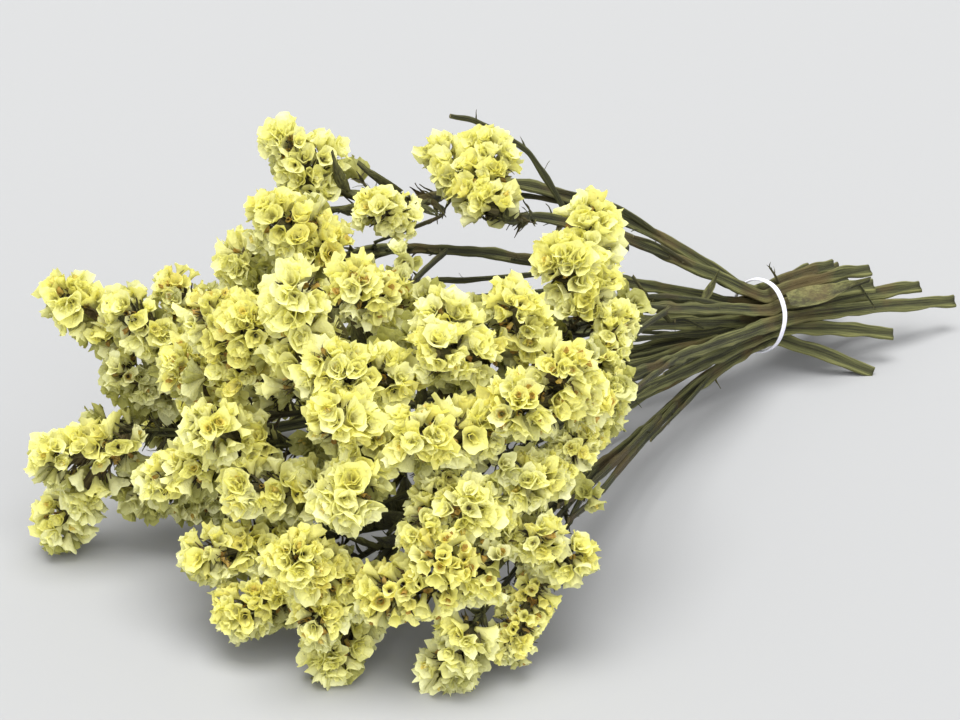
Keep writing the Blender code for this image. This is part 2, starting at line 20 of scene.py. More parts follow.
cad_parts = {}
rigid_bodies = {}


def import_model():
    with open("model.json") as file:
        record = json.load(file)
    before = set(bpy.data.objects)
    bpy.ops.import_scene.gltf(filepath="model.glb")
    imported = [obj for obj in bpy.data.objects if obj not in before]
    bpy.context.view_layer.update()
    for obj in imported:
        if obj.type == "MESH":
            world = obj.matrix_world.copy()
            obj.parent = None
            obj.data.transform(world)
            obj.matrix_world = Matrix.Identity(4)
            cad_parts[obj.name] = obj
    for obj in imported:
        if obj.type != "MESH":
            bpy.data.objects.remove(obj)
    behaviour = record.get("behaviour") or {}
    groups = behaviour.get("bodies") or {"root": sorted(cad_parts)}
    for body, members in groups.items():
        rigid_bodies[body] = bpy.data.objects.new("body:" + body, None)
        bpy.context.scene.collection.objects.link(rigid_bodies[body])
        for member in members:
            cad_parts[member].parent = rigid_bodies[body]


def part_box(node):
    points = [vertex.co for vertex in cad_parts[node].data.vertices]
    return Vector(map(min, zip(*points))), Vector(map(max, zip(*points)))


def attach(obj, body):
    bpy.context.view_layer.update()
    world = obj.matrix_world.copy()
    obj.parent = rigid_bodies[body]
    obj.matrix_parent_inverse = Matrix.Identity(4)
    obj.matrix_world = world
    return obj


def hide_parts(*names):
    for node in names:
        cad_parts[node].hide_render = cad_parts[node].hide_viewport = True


LOG = logging.getLogger("dried_statice_looks")

Millimetres = tuple[float, float, float]
Colour = tuple[float, float, float]

MM = 0.001
SEED = 3
SEAM = 0.01 * MM

# Band and stems, as in the solids
BAND_HEIGHT = 34 * MM
BAND_ZONE = 6 * MM
STEM_RADIUS = 4.2 * MM
STEM_WAIST = 0.48
STEM_PITCH = 7.8 * MM
STEM_ROW = 0.866 * STEM_PITCH
STEM_SWELL = 1.5 * MM
STEM_TURN = 1.1
FORK_TAPER = 0.66
TIP_TAPER = 0.4
BRANCH_TAPER = 0.46
BRANCH_TIP_TAPER = 0.36
TWIG_TAPER = 0.45
TWIG_TIP_TAPER = 0.25
STRAIGHT_END = 5 * MM
BRANCH_BOW = 4 * MM
BRANCH_BOW_AT = 0.55
BRACT_LEAN = math.radians(38)
BRACT_EVERY = 4
NECK = 7 * MM
NECK_BEND = 0.6
SPIKE_START = 1.4
FAN_MIDDLE = Vector((-235, -25, 62)) * MM

# The way that the palest calyces face, toward the light; calyces that face away from it get painted shade,
# their tone darkened toward olive
LIT_SIDE = Vector((-0.12, -0.28, 1.0)).normalized()

# Thin shoots and leaves, which the solids leave out
SHOOT_SHARE = 0.26
SHOOT_LENGTH = 120 * MM
LEAST_SHOOT = 0.7
SHOOT_TAPER = 0.5
LEAF_CELLS = 9

# Fineness of the stalks
STEM_SIDES = 24
BRANCH_SIDES = 12
STATIONS = 8

# Where the noise of one shape starts, in its own units
NOISE_SPAN = 99

# Calyx: a papery funnel with five ribbed lobes
LOBES = 5
CALYX_SIDES = 18
CALYX_RINGS = 3
RUFFLES = 1.5
THROAT = 0.9 * MM
LEAST_SQUASH = 0.1
FUNNEL_RISE = 0.75
LOBE_RISE = 0.05
RIM_SHARPNESS = 6
CRUMPLE_SIZE = 0.55
VARIANTS = 14

# Leaf or bract
LEAF_FOOT = 0.35
LEAF_FULLNESS = 0.25
LEAF_EDGE = 0.12 * MM
LEAF_BENDS = (0.3, 1.4)
LEAF_ASIDE = 0.6
LEAF_CRINKLE = 0.35 * MM
LEAF_CRINKLE_SIZE = 2.5 * MM
LEAF_GRAIN = 60
LARGE_LEAF_CUP = 0.25
LARGE_LEAF_BEND = 0.12
LARGE_LEAF_TONE = 0.1

# Stalk
WING_SHARPNESS = 3.2
WING_RIPPLE = 14 * MM
WING_DRIFT = 4 * MM
KNOT = 0.14
KNOT_SIZE = 11 * MM
STALK_GRAIN = 6
CUT_RIM = 0.35 * MM

# Side twigs behind the heads
TWIGLET_SHARE = 0.2
TWIGLET_WAVINESS = 0.4
TWIGLET_BRACTS = 8
TWIGLET_CALYCES = (5, 6, 7)

# Spikes: how calyces, corollas and bracts stand on them
ROUND_SPREAD = math.radians(80)
ROUND_LIMIT = math.radians(150)
MOST_LEAN = 30
CAP_SHARE = 0.8
SPACING_SPREAD = (0.85, 1.15)
CALYX_SIZES = (0.75, 1.25)
CRUMB_DEPTH = (5, 7.5)
BRACT_DEPTH = (6.5, 9)
RACHIS_WAVINESS = 0.1
SCALE_ROW = 3.2 * MM
SCALE_COLUMNS = 5
SCALE_START = 92
SCALE_TURN = 176
SCALE_STEPS = 4.5

# Noise of the finishes
FINE_DETAIL = 3.0
FINE_ROUGHNESS = 0.6

# What each vertex knows of its place on its shape, and the run of its fibres
LAYERS = ("trait", "grain")


class Look(Enum):
    """Character of a head's calyces."""

    PLAIN = "plain"
    FUNNELS = "funnels"
    OCHRE = "ochre"
    PALE = "pale"
    # Heads that lie in shade: plain calyces with their tone set down to olive, a painted shade
    OLIVE = "olive"
    BROWN = "brown"


@dataclass(frozen=True)
class Head:
    """A head at the end of a branch, as in the solids.

    Args:
        name: what the head is called in its node's name.
        base: where its branch ends, in mm.
        tips: the ends of its spikes, in mm.
        size: size of its florets, as a share of the usual one.
        look: the character of its calyces.
        twiglets: how many side twigs with a few calyces grow behind it.
    """

    name: str
    base: Millimetres
    tips: tuple[Millimetres, ...]
    size: float = 1.0
    look: Look = Look.PLAIN
    twiglets: int = 5

    def start(self) -> Vector:
        """Returns the base in metres."""
        return Vector(self.base) * MM

    def ends(self) -> list[Vector]:
        """Returns the spikes' ends in metres."""
        return [Vector(tip) * MM for tip in self.tips]

    def axis(self) -> Vector:
        """Returns the direction of its neck, between its stem's direction and that of its spikes."""
        spikes = sum((end - self.start() for end in self.ends()), Vector()).normalized()
        outward = (self.start() - Vector((0, 0, BAND_HEIGHT))).normalized()
        return (spikes + outward * NECK_BEND).normalized()

    def neck(self) -> Vector:
        """Returns the point that its spikes spring from."""
        return self.start() + self.axis() * NECK


@dataclass(frozen=True)
class DryLeaf:
    """A single dry leaf that stands out on a stem.

    Args:
        root: where it springs, in mm.
        tip: where its tip is, in mm.
        width: at its widest, in mm.
        turn: how far it is turned round its own length, in radians.
    """

    root: Millimetres
    tip: Millimetres
    width: float
    turn: float = 0.0


@dataclass(frozen=True)
class Stem:
    """A stem from its cut end through the band to its fork, as in the solids.

    Args:
        name: what the stem is called in its node's name.
        place: its place in the band, in pitches across (+Y) and rows up.
        cut_end: where the stem was cut, in mm.
        fork: where its branches part, in mm.
        heads: the heads, the one at the end of the main stem first.
        way: points that the stem passes between the band and the fork, in mm.
        twig: a bare, broken twig, from the stem to its tip, in mm.
        leaves: its larger dry leaves.
        shoots: thin shoots, each from the stem to its tip, in mm.
    """

    name: str
    place: tuple[float, int]
    cut_end: Millimetres
    fork: Millimetres
    heads: tuple[Head, ...]
    way: tuple[Millimetres, ...] = ()
    twig: tuple[Millimetres, ...] = ()
    leaves: tuple[DryLeaf, ...] = ()
    shoots: tuple[tuple[Millimetres, ...], ...] = ()

    def in_band(self, along: float) -> Vector:
        """Returns the stem's point at this distance along the bunch from the band."""
        across, rows = self.place
        return Vector((along, across * STEM_PITCH, BAND_HEIGHT + rows * STEM_ROW))


STEMS = (
    Stem("crest", (0.5, 2), (72, 12, 42), (-213, 25, 140),
         (Head("crest", (-266, 40, 146), ((-274, 54, 175), (-262, 44, 168)), 1.0, Look.PALE, 1),
          Head("small_top", (-276, -28, 158), ((-294, -32, 166),), 0.74, twiglets=0)),
         way=((-74, 22, 95), (-149, 32, 131)),
         leaves=(DryLeaf((-234, 24, 148), (-254, 28, 163), 10, 0.4),
                 DryLeaf((-246, 30, 146), (-266, 26, 152), 11, -0.5),
                 DryLeaf((-250, 28, 142), (-272, 24, 147), 10, 0.9),
                 DryLeaf((-260, 30, 152), (-270, 28, 172), 8, 0.2),
                 DryLeaf((-239, 10, 140), (-262, -12, 154), 9, 0.2)),
         shoots=(((-216, 20, 140), (-232, -6, 144), (-256, -12, 144), (-279, -14, 143)),)),
    Stem("twin", (-0.5, 2), (70, -15, 48), (-180, -10, 132),
         (Head("twin", (-220, -30, 148), ((-226, 2, 167), (-211, -14, 172)), twiglets=0),),
         way=((-66, 2, 80), (-110, 4, 104)),
         twig=((-148, -2, 122), (-166, -2, 148), (-178, -2, 162), (-208, -2, 181), (-226, -4, 188)),
         leaves=(DryLeaf((-56, -8, 60), (-46, -9, 73), 5, 0.3),
                 DryLeaf((-118, -6, 106), (-140, -14, 98), 6, 1.0)),
         shoots=(((14, 0, 47), (9, 0, 55), (4, 0, 61)),
                 ((-112, -6, 100), (-146, -30, 112), (-170, -50, 124), (-190, -66, 142)))),
    Stem("crown", (0, 1), (52, -1, 39), (-262, -6, 134),
         (Head("crown", (-305, -15, 145), ((-325, -2, 162),), 1.15, Look.OCHRE),
          Head("brown", (-305, -62, 132), ((-332, -62, 150),), 1.0, Look.BROWN),
          Head("behind", (-312, 22, 116), ((-322, 26, 138),))),
         way=((-110, 3, 80), (-190, 2, 112)),
         shoots=(((-130, -2, 88), (-159, -10, 100), (-199, -8, 106), (-246, -6, 115), (-268, -6, 120)),
                 ((-134, -8, 86), (-168, -20, 96), (-216, -20, 104), (-255, -20, 111), (-275, -22, 114)))),
    Stem("tall", (-1, 1), (60, -26, 44), (-160, -50, 92),
         (Head("tall", (-228, -96, 121), ((-211, -78, 157), (-240, -90, 147)), 1.1, twiglets=2),
          Head("right_small", (-232, -110, 104), ((-221, -108, 120),), 0.75, twiglets=0),
          Head("right_mid", (-268, -104, 118), ((-280, -102, 140),))),
         leaves=(DryLeaf((2, -19, 48), (52, -27, 47), 15, 0.35),
                 DryLeaf((-112, -36, 70), (-134, -30, 94), 6, 0.2)),
         shoots=(((-102, -30, 66), (-90, -26, 62), (-76, -26, 54)),
                 ((49, -26, 47), (53, -29, 40), (56, -31, 35)))),
    Stem("back", (1, 1), (62, 21, 40), (-160, 50, 66),
         (Head("back_top", (-222, 78, 76), ((-248, 94, 96),)),
          Head("back_mid", (-245, 96, 52), ((-276, 106, 68), (-268, 116, 48))),
          Head("back_foot", (-228, 88, 26), ((-254, 110, 26),)))),
    Stem("big", (-1.5, 0), (135, -27, 16), (-180, -75, 72),
         (Head("big", (-262, -126, 100), ((-305, -130, 110), (-285, -134, 122)), 1.1, Look.BROWN),
          Head("right_edge", (-246, -122, 86), ((-280, -138, 84), (-246, -128, 104)), 0.66, twiglets=0),
          Head("right_low", (-278, -130, 74), ((-308, -138, 80),), 0.9, twiglets=1))),
    Stem("centre", (-0.5, 0), (116, -16, 27), (-225, -55, 98),
         (Head("centre", (-292, -98, 118), ((-324, -104, 130), (-310, -92, 140))),
          Head("upper_mid", (-325, -85, 112), ((-358, -76, 124),), 1.1)),
         leaves=(DryLeaf((-300, -84, 95), (-306, -92, 111), 12, 0.5),
                 DryLeaf((-316, -88, 99), (-319, -92, 116), 12, 1.1),
                 DryLeaf((-324, -86, 101), (-338, -92, 110), 12, 0.2))),
    Stem("shoulder", (0.5, 0), (80, 8, 34), (-290, -20, 92),
         (Head("shoulder", (-352, -20, 104), ((-362, -8, 132), (-360, -34, 134)), 1.1, Look.OCHRE),
          Head("pale", (-348, -56, 110), ((-350, -52, 150),), 1.15, Look.PALE)),
         way=((-150, -4, 66),),
         leaves=(DryLeaf((-336, -60, 124), (-344, -66, 145), 9, 0.4),
                 DryLeaf((-322, -60, 120), (-332, -64, 137), 10, 1.0),
                 DryLeaf((-314, -58, 116), (-326, -62, 127), 10, 0.2))),
    Stem("far_left", (1.5, 0), (100, 30, 30), (-290, 38, 76),
         (Head("far_left", (-352, 62, 94), ((-376, 84, 116),), 1.1),
          Head("left_wing", (-348, 44, 100), ((-366, 52, 116),)),
          Head("bud", (-330, 42, 104), ((-343, 48, 122),), 0.9, Look.FUNNELS),
          Head("left_under", (-346, 52, 72), ((-366, 58, 84),), 1.0, Look.OLIVE)),
         way=((-150, 24, 56),),
         leaves=(DryLeaf((-360, 54, 104), (-374, 56, 118), 6, 0.4),)),
    Stem("loose", (-1, -1), (70, -34, 15), (-235, -78, 62),
         (Head("big_centre", (-305, -118, 96), ((-344, -115, 103),), 1.15),
          Head("loose", (-328, -116, 78), ((-350, -126, 64),), 0.8),
          Head("breast", (-335, -92, 92), ((-364, -90, 110), (-370, -104, 80)), 1.1)),
         leaves=(DryLeaf((-322, -84, 72), (-340, -86, 58), 7, 0.5),
                 DryLeaf((-318, -92, 66), (-346, -96, 66), 6, 1.2),
                 DryLeaf((-300, -96, 66), (-318, -104, 52), 6, 0.1))),
    Stem("left_front", (0, -1), (95, -2, 18), (-285, -26, 56),
         (Head("left_front", (-355, -34, 76), ((-390, -6, 62), (-382, -32, 92)), 1.05),
          Head("mid_left", (-345, -66, 64), ((-376, -44, 66),)),
          Head("shaded", (-345, 4, 76), ((-360, 18, 100),), 1.0, Look.BROWN))),
    Stem("drooping", (1, -1), (88, 18, 20), (-300, 34, 46),
         (Head("drooping", (-370, 50, 56), ((-402, 62, 50), (-396, 72, 12)), 1.06),
          Head("underside", (-335, 25, 24), ((-370, 48, 32),), 1.0, Look.OLIVE),
          Head("back_low", (-294, 74, 38), ((-322, 98, 32),)))),
    Stem("front", (-0.5, -2), (46, -41, 0.5), (-250, -100, 40),
         (Head("front_big", (-328, -138, 48), ((-365, -118, 42), (-350, -134, 60)), 1.1, Look.FUNNELS, 1),
          Head("front_up", (-312, -128, 62), ((-334, -134, 78),), twiglets=2),
          Head("foot", (-335, -140, 26), ((-344, -134, 6),), 0.95, twiglets=0),
          Head("front_right", (-292, -132, 44), ((-306, -146, 60), (-288, -152, 46)), 0.9, twiglets=1),
          Head("bud_low", (-300, -140, 30), ((-322, -146, 14),), 0.8, Look.FUNNELS, 0)),
         way=((-60, -20, 24), (-150, -54, 27)),
         leaves=(DryLeaf((-268, -108, 46), (-288, -118, 60), 8, 0.6),
                 DryLeaf((-262, -104, 44), (-290, -112, 50), 7, 1.4)),
         shoots=(((-130, -48, 28), (-190, -78, 34), (-246, -112, 48), (-284, -136, 62)),
                 ((-110, -40, 26), (-170, -68, 27), (-230, -104, 37), (-276, -134, 52)))),
    Stem("low", (0.5, -2), (60, 8, 12), (-290, -60, 30),
         (Head("low_mid", (-362, -100, 42), ((-390, -96, 60), (-384, -100, 30)), 1.0, Look.OCHRE, 0),
          Head("low_fan", (-355, -92, 20), ((-376, -100, 8),), 1.0, Look.PALE, 0),
          Head("low_left", (-360, -52, 42), ((-394, -40, 40),), twiglets=2),
          Head("low_far", (-365, -70, 26), ((-392, -58, 20),), 1.0, Look.OCHRE, 1)),
         way=((-80, -4, 18), (-180, -24, 20)),
         leaves=(DryLeaf((-340, -88, 44), (-362, -86, 58), 7, 0.5),
                 DryLeaf((-330, -86, 42), (-350, -100, 54), 6, 1.1),
                 DryLeaf((-322, -80, 40), (-344, -92, 34), 7, 0.3),
                 DryLeaf((-335, -86, 46), (-340, -104, 62), 5, 0.9),
                 DryLeaf((-348, -94, 44), (-362, -112, 46), 6, 0.4),
                 DryLeaf((-300, -59, 32), (-308, -66, 60), 14, 0.3),
                 DryLeaf((-312, -58, 34), (-322, -64, 62), 15, 0.9),
                 DryLeaf((-325, -57, 36), (-336, -66, 62), 14, 0.1),
                 DryLeaf((-338, -56, 38), (-346, -64, 66), 14, 0.7),
                 DryLeaf((-306, -60, 33), (-330, -76, 52), 15, 0.5))),
)


def smooth_path(points: list[Vector], steps: int) -> list[Vector]:
    """Returns a smooth path through these points, as in the solids.

    Args:
        points: the points that the path passes, two or more.
        steps: how many stretches lie between two of them.

    Returns:
        The path's points, the ends included.
    """
    before = points[0] * 2 - points[1]
    after = points[-1] * 2 - points[-2]
    guides = [before, *points, after]
    path = []
    for a, b, c, d in zip(guides, guides[1:], guides[2:], guides[3:]):
        reach = (c - b).length
        leave = (c - a).normalized() * reach / 3
        arrive = (d - b).normalized() * reach / 3
        for step in range(steps):
            t = step / steps
            u = 1 - t
            bend = 3 * u * u * t * (b + leave) + 3 * u * t * t * (c - arrive)
            path.append(u**3 * b + bend + t**3 * c)
    return [*path, points[-1]]


def evenly(first: float, last: float, count: int) -> list[float]:
    """Returns this many values in even steps from the first one up to, but without, the last one."""
    return [first + (last - first) * step / count for step in range(count)]


def taper(first: float, last: float, line: list[Vector]) -> list[float]:
    """Returns shares that run from the first to the last one over a line's points."""
    return [*evenly(first, last, len(line) - 1), last]


def between(values: list[float], place: float) -> float:
    """Returns the value at this place, counted in list steps, between its two neighbours."""
    index = min(int(place), len(values) - 2)
    return values[index] + (values[index + 1] - values[index]) * (place - index)


def aimed(origin: Vector, direction: Vector, roll: float = 0.0) -> Matrix:
    """Returns the placement of a shape that stands along Z: at this point, along this direction."""
    turn = direction.to_track_quat("Z", "Y").to_matrix().to_4x4()
    return Matrix.Translation(origin) @ turn @ Matrix.Rotation(roll, 4, "Z")


def facing_roll(direction: Vector, out: Vector) -> float:
    """Returns the roll about a direction that turns a shape's own Y away from this outward way."""
    frame = direction.to_track_quat("Z", "Y").to_matrix()
    return math.atan2(-(frame.col[0].dot(out)), frame.col[1].dot(out)) + math.pi


def ripple(point: Vector, scale: float) -> float:
    """Returns smooth noise of about -1 to 1 at a point, for ripples of this size in metres."""
    return noise.noise(point / scale)


def turned(direction: Vector, angle: float, axis: Vector) -> Vector:
    """Returns a direction turned about an axis by this angle in radians."""
    result = direction.copy()
    result.rotate(Matrix.Rotation(angle, 3, axis))
    return result


def tilted(chance: random.Random, direction: Vector, lean: float) -> Vector:
    """Returns this direction tilted by so many radians to a side that chance picks."""
    aside = turned(direction.orthogonal().normalized(), chance.uniform(0, math.tau), direction)
    return direction * math.cos(lean) + aside * math.sin(lean)


class Gathering:
    """A mesh that many small shapes are gathered in, each with its own tone."""

    def __init__(self) -> None:
        """Starts an empty mesh."""
        self.work = bmesh.new()

    def add(self, shape: bpy.types.Mesh, placement: Matrix, tone: float) -> None:
        """Adds one copy of a shape.

        Args:
            shape: the shape, with the vertex attribute "trait".
            placement: where the copy goes.
            tone: its tone, which becomes the trait's third number.
        """
        first = len(self.work.verts)
        self.work.from_mesh(shape)
        self.work.verts.ensure_lookup_table()
        fresh = self.work.verts[first:]
        bmesh.ops.transform(self.work, matrix=placement, verts=fresh)
        trait = self.work.verts.layers.float_vector["trait"]
        for vert in fresh:
            vert[trait].z += tone

    def scatter(
        self,
        chance: random.Random,
        shapes: list[bpy.types.Mesh],
        root: Vector,
        way: Vector,
        tones: tuple[float, float],
        sizes: tuple[float, float] | None = None,
    ) -> None:
        """Adds one of these shapes, with a roll, a size and a tone that chance picks.

        Args:
            chance: picks them.
            shapes: variants of the shape.
            root: where it springs.
            way: the direction that it points in.
            tones: its least and greatest tone.
            sizes: its least and greatest size, as shares; none for the shape's own.
        """
        placement = aimed(root, way, chance.uniform(0, math.tau))
        if sizes:
            placement = placement @ Matrix.Scale(chance.uniform(*sizes), 4)
        self.add(chance.choice(shapes), placement, chance.uniform(*tones))

    def finished(self, name: str, material: bpy.types.Material, shift: Vector) -> bpy.types.Object:
        """Returns the gathered mesh as an object, with nothing below the floor.

        Args:
            name: the piece's name.
            material: its finish.
            shift: from the band to the frame's origin.
        """
        for vert in self.work.verts:
            vert.co.z = max(0.0, vert.co.z)
        bmesh.ops.translate(self.work, verts=self.work.verts, vec=shift)
        return as_piece(as_mesh(self.work, name), material)


def as_mesh(work: bmesh.types.BMesh, name: str) -> bpy.types.Mesh:
    """Returns a smooth mesh of this name, and frees what it was made from."""
    for face in work.faces:
        face.smooth = True
    mesh = bpy.data.meshes.new(name)
    work.to_mesh(mesh)
    work.free()
    return mesh


def as_shape(work: bmesh.types.BMesh, name: str) -> bpy.types.Mesh:
    """Returns a smooth mesh whose faces all look outward, and frees what it was made from."""
    bmesh.ops.recalc_face_normals(work, faces=work.faces)
    return as_mesh(work, name)


def linked(name: str, data: bpy.types.ID) -> bpy.types.Object:
    """Returns an object of this name in the scene."""
    thing = bpy.data.objects.new(name, data)
    bpy.context.scene.collection.objects.link(thing)
    return thing


def as_piece(mesh: bpy.types.Mesh, material: bpy.types.Material) -> bpy.types.Object:
    """Returns a piece with a mesh's name and this finish."""
    mesh.materials.append(material)
    return linked(mesh.name, mesh)


def unit_tube(sides: int, rings: int, capped: bool) -> tuple[bmesh.types.BMesh, list[tuple]]:
    """Returns a tube of radius 1 and height 1 over z = 0, cut into rings.

    Args:
        sides: how many sides it has.
        rings: how many rings of faces it has.
        capped: whether its ends are closed.

    Returns:
        The mesh, and for each vertex the vertex, its angle and its share of the height.
    """
    work = bmesh.new()
    for layer in LAYERS:
        work.verts.layers.float_vector.new(layer)
    bmesh.ops.create_cone(work, cap_ends=capped, segments=sides, radius1=1, radius2=1, depth=1)
    upright = [edge for edge in work.edges if abs(edge.verts[0].co.z - edge.verts[1].co.z) > 0.5]
    bmesh.ops.subdivide_edges(work, edges=upright, cuts=rings - 1)
    corners = [(vert, math.atan2(vert.co.x, vert.co.y), vert.co.z + 0.5) for vert in work.verts]
    return work, corners


@dataclass(frozen=True)
class CalyxForm:
    """Form of one papery calyx.

    Args:
        rim: radius of the rim, in metres.
        length: from the root to the rim, in metres.
        flare: how late the funnel opens; 1 is a cone.
        lobe: how far the lobes stand out, as a share of the rim.
        ruffle: height of the rim's ruffles, in metres.
        squash: how much one side is pressed in, as a share.
        curl: how far the rim turns back, in metres.
        slant: how much higher one side of the rim stands, as a share of the rim.
        tooth: how ragged the rim is, as a share of its radius.
        crumple: how far the paper is crumpled, in metres.
        sides: how many sides it has.
        rings: how many rings of faces it has.
    """

    rim: float = 5.2 * MM
    length: float = 7.4 * MM
    flare: float = 1.4
    lobe: float = 0.04
    ruffle: float = 2.7 * MM
    squash: float = 0.75
    curl: float = 0.3 * MM
    slant: float = 0.3
    tooth: float = 0.06
    crumple: float = 1.0 * MM
    sides: int = CALYX_SIDES
    rings: int = CALYX_RINGS

    def mesh(self, chance: random.Random) -> bpy.types.Mesh:
        """Returns one calyx along Z with its root at the origin.

        Args:
            chance: picks how this one is pressed, torn and crumpled.

        Returns:
            The mesh; its trait holds rib, height and tone.
        """
        work, corners = unit_tube(self.sides, self.rings, False)
        trait = work.verts.layers.float_vector["trait"]
        stretch = 1 - chance.uniform(LEAST_SQUASH, self.squash)
        pressed = chance.uniform(0, math.tau)
        high_side = chance.uniform(0, math.tau)
        seed = Vector((chance.uniform(0, NOISE_SPAN), chance.uniform(0, NOISE_SPAN), 0))
        bite = [chance.uniform(-self.tooth, self.tooth) for _ in range(self.sides)]
        for vert, angle, share in corners:
            turn = angle / math.tau * LOBES
            rib = 2 * abs(turn - round(turn))
            corner = round(angle / math.tau * self.sides) % self.sides
            open_share = share**self.flare
            radius = THROAT + (self.rim - THROAT) * open_share
            radius *= 1 + (self.lobe * (1 - 2 * rib) + bite[corner]) * open_share
            radius *= 1 - (1 - stretch) * abs(math.cos(angle - pressed)) * open_share
            height = self.length * share**FUNNEL_RISE
            around = Vector((math.cos(angle), math.sin(angle), 0)) * RUFFLES + seed
            height += self.ruffle * noise.noise(around) * open_share
            height += self.slant * self.rim * math.cos(angle - high_side) * open_share
            height += (self.length * LOBE_RISE * (1 - 2 * rib) - self.curl) * share**RIM_SHARPNESS
            point = Vector((radius * math.cos(angle), radius * math.sin(angle), height))
            crumple = noise.noise_vector(point / (CRUMPLE_SIZE * self.rim) + seed)
            vert.co = point + crumple * self.crumple * share
            vert[trait] = (rib, share, 0)
        return as_shape(work, "calyx")


@dataclass(frozen=True)
class LeafForm:
    """Form of a small dry leaf or bract.

    Args:
        length: from root to tip, in metres.
        width: at its widest, in metres.
        cup: how deep it is folded along its middle, in metres.
        bend: how far its tip bends over, in metres.
        cells: how many cells it has along its length.
    """

    length: float = 6.5 * MM
    width: float = 3.2 * MM
    cup: float = 0.6 * MM
    bend: float = 1.4 * MM
    cells: int = 4

    def mesh(self, chance: random.Random) -> bpy.types.Mesh:
        """Returns one leaf along Z with its root at the origin.

        Args:
            chance: picks how this one bends and crinkles.

        Returns:
            The mesh; its trait holds side, height and tone.
        """
        work = bmesh.new()
        trait, grain = (work.verts.layers.float_vector.new(layer) for layer in LAYERS)
        bmesh.ops.create_grid(work, x_segments=2, y_segments=self.cells, size=0.5)
        seed = Vector((chance.uniform(0, NOISE_SPAN), 0, chance.uniform(0, NOISE_SPAN)))
        bend = self.bend * chance.uniform(*LEAF_BENDS)
        aside = self.bend * chance.uniform(-LEAF_ASIDE, LEAF_ASIDE)
        for vert in work.verts:
            side = 2 * vert.co.x
            share = vert.co.y + 0.5
            belly = math.sin(math.pi * min(1, share + LEAF_FULLNESS))
            half = self.width / 2 * (LEAF_FOOT + (1 - LEAF_FOOT) * belly) * (1 - share**3) + LEAF_EDGE
            point = Vector((side * half, self.cup * (abs(side) - 1) + bend * share**2, share * self.length))
            point.x += aside * share**2
            point += noise.noise_vector(point / LEAF_CRINKLE_SIZE + seed) * LEAF_CRINKLE
            vert.co = point
            vert[trait] = (abs(side), share, 0)
            vert[grain] = (seed.x + side, seed.z, point.z * LEAF_GRAIN)
        return as_shape(work, "leaf")


@dataclass(frozen=True)
class Manner:
    """How the calyces of one look are shaped and placed.

    Args:
        form: the calyx.
        spacing: between neighbouring calyces, in metres.
        tone: the middle of their tones, from 0 for the olive of painted shade through cream and lemon to 1 for
            ochre brown.
        spread: how much the tones vary.
        tilt: how unevenly they stand, in radians.
        hearts: share of the calyces that show a dry corolla.
        heart_tone: the corollas' tone.
        folded: whether folds of paper fill the throats.
    """

    form: CalyxForm
    spacing: float
    tone: float
    spread: float = 0.12
    tilt: float = 0.55
    hearts: float = 0.07
    heart_tone: float = 0.70
    folded: bool = True


MANNERS = {
    Look.PLAIN: Manner(CalyxForm(), 5.1 * MM, 0.34),
    Look.FUNNELS: Manner(
        CalyxForm(3.4 * MM, flare=1.6, lobe=0.12, ruffle=1.4 * MM, squash=0.3, slant=0.1, crumple=0.8 * MM),
        4.4 * MM,
        0.42,
        hearts=0.3,
        heart_tone=0.9,
        folded=False,
    ),
    Look.OCHRE: Manner(CalyxForm(rim=4.6 * MM), 4.6 * MM, 0.40, 0.10, hearts=0.15, heart_tone=0.70),
    Look.PALE: Manner(CalyxForm(rim=6.2 * MM, length=8.4 * MM, lobe=0.03), 5.3 * MM, 0.30, 0.05, hearts=0.03),
    # Painted shade: the plain calyx with its tone set low, toward olive
    Look.OLIVE: Manner(CalyxForm(), 5.6 * MM, 0.10, 0.08, hearts=0.1, heart_tone=0.8),
    Look.BROWN: Manner(CalyxForm(rim=4.8 * MM), 5.0 * MM, 0.36, 0.12, hearts=0.3, heart_tone=0.86),
}


@dataclass(frozen=True)
class Stock:
    """The small shapes that heads and stalks are made of, in a few variants of each.

    Args:
        calyces: variants of the calyx for each look.
        hearts: dry corollas.
        folds: crumpled folds of paper that fill a calyx's throat.
        bracts: scales at the calyces' feet.
        points: thin bract tips.
        blades: narrow leaves of the stalks.
    """

    calyces: dict[Look, list[bpy.types.Mesh]]
    hearts: list[bpy.types.Mesh]
    folds: list[bpy.types.Mesh]
    bracts: list[bpy.types.Mesh]
    points: list[bpy.types.Mesh]
    blades: list[bpy.types.Mesh]

    @classmethod
    def grown(cls) -> Stock:
        """Returns the stock with all its variants."""
        chance = random.Random(SEED)
        heart = CalyxForm(1.3 * MM, 3.6 * MM, 1.0, 0.2, 0.5 * MM, crumple=0.4 * MM, sides=8, rings=2)
        fold = CalyxForm(2.9 * MM, 3.4 * MM, 1.0, 0.1, 1.8 * MM, crumple=0.8 * MM, sides=10, rings=1)
        scale = LeafForm(length=7 * MM, width=2.4 * MM)
        point = LeafForm(length=6.5 * MM, width=1.3 * MM, cup=0.2 * MM, bend=1.4 * MM, cells=3)
        blade = LeafForm(length=11 * MM, width=2.4 * MM, cup=0.5 * MM, bend=3.2 * MM, cells=5)
        return cls(
            {look: [manner.form.mesh(chance) for _ in range(VARIANTS)] for look, manner in MANNERS.items()},
            *[
                [form.mesh(chance) for _ in range(count)]
                for form, count in ((heart, 6), (fold, 8), (scale, 8), (point, 6), (blade, 6))
            ],
        )


@dataclass(frozen=True)
class Station:
    """One place on a route.

    Args:
        origin: the point.
        side: the level direction across the route.
        rise: the direction square to the route and to side.
        radius: share of a stem's radius.
        turn: turn of the section, in radians.
        along: distance from the route's start, in metres.
    """

    origin: Vector
    side: Vector
    rise: Vector
    radius: float
    turn: float
    along: float

    def outward(self, angle: float) -> Vector:
        """Returns the direction square to the route at this angle in radians from its side."""
        return self.side * math.cos(angle) + self.rise * math.sin(angle)


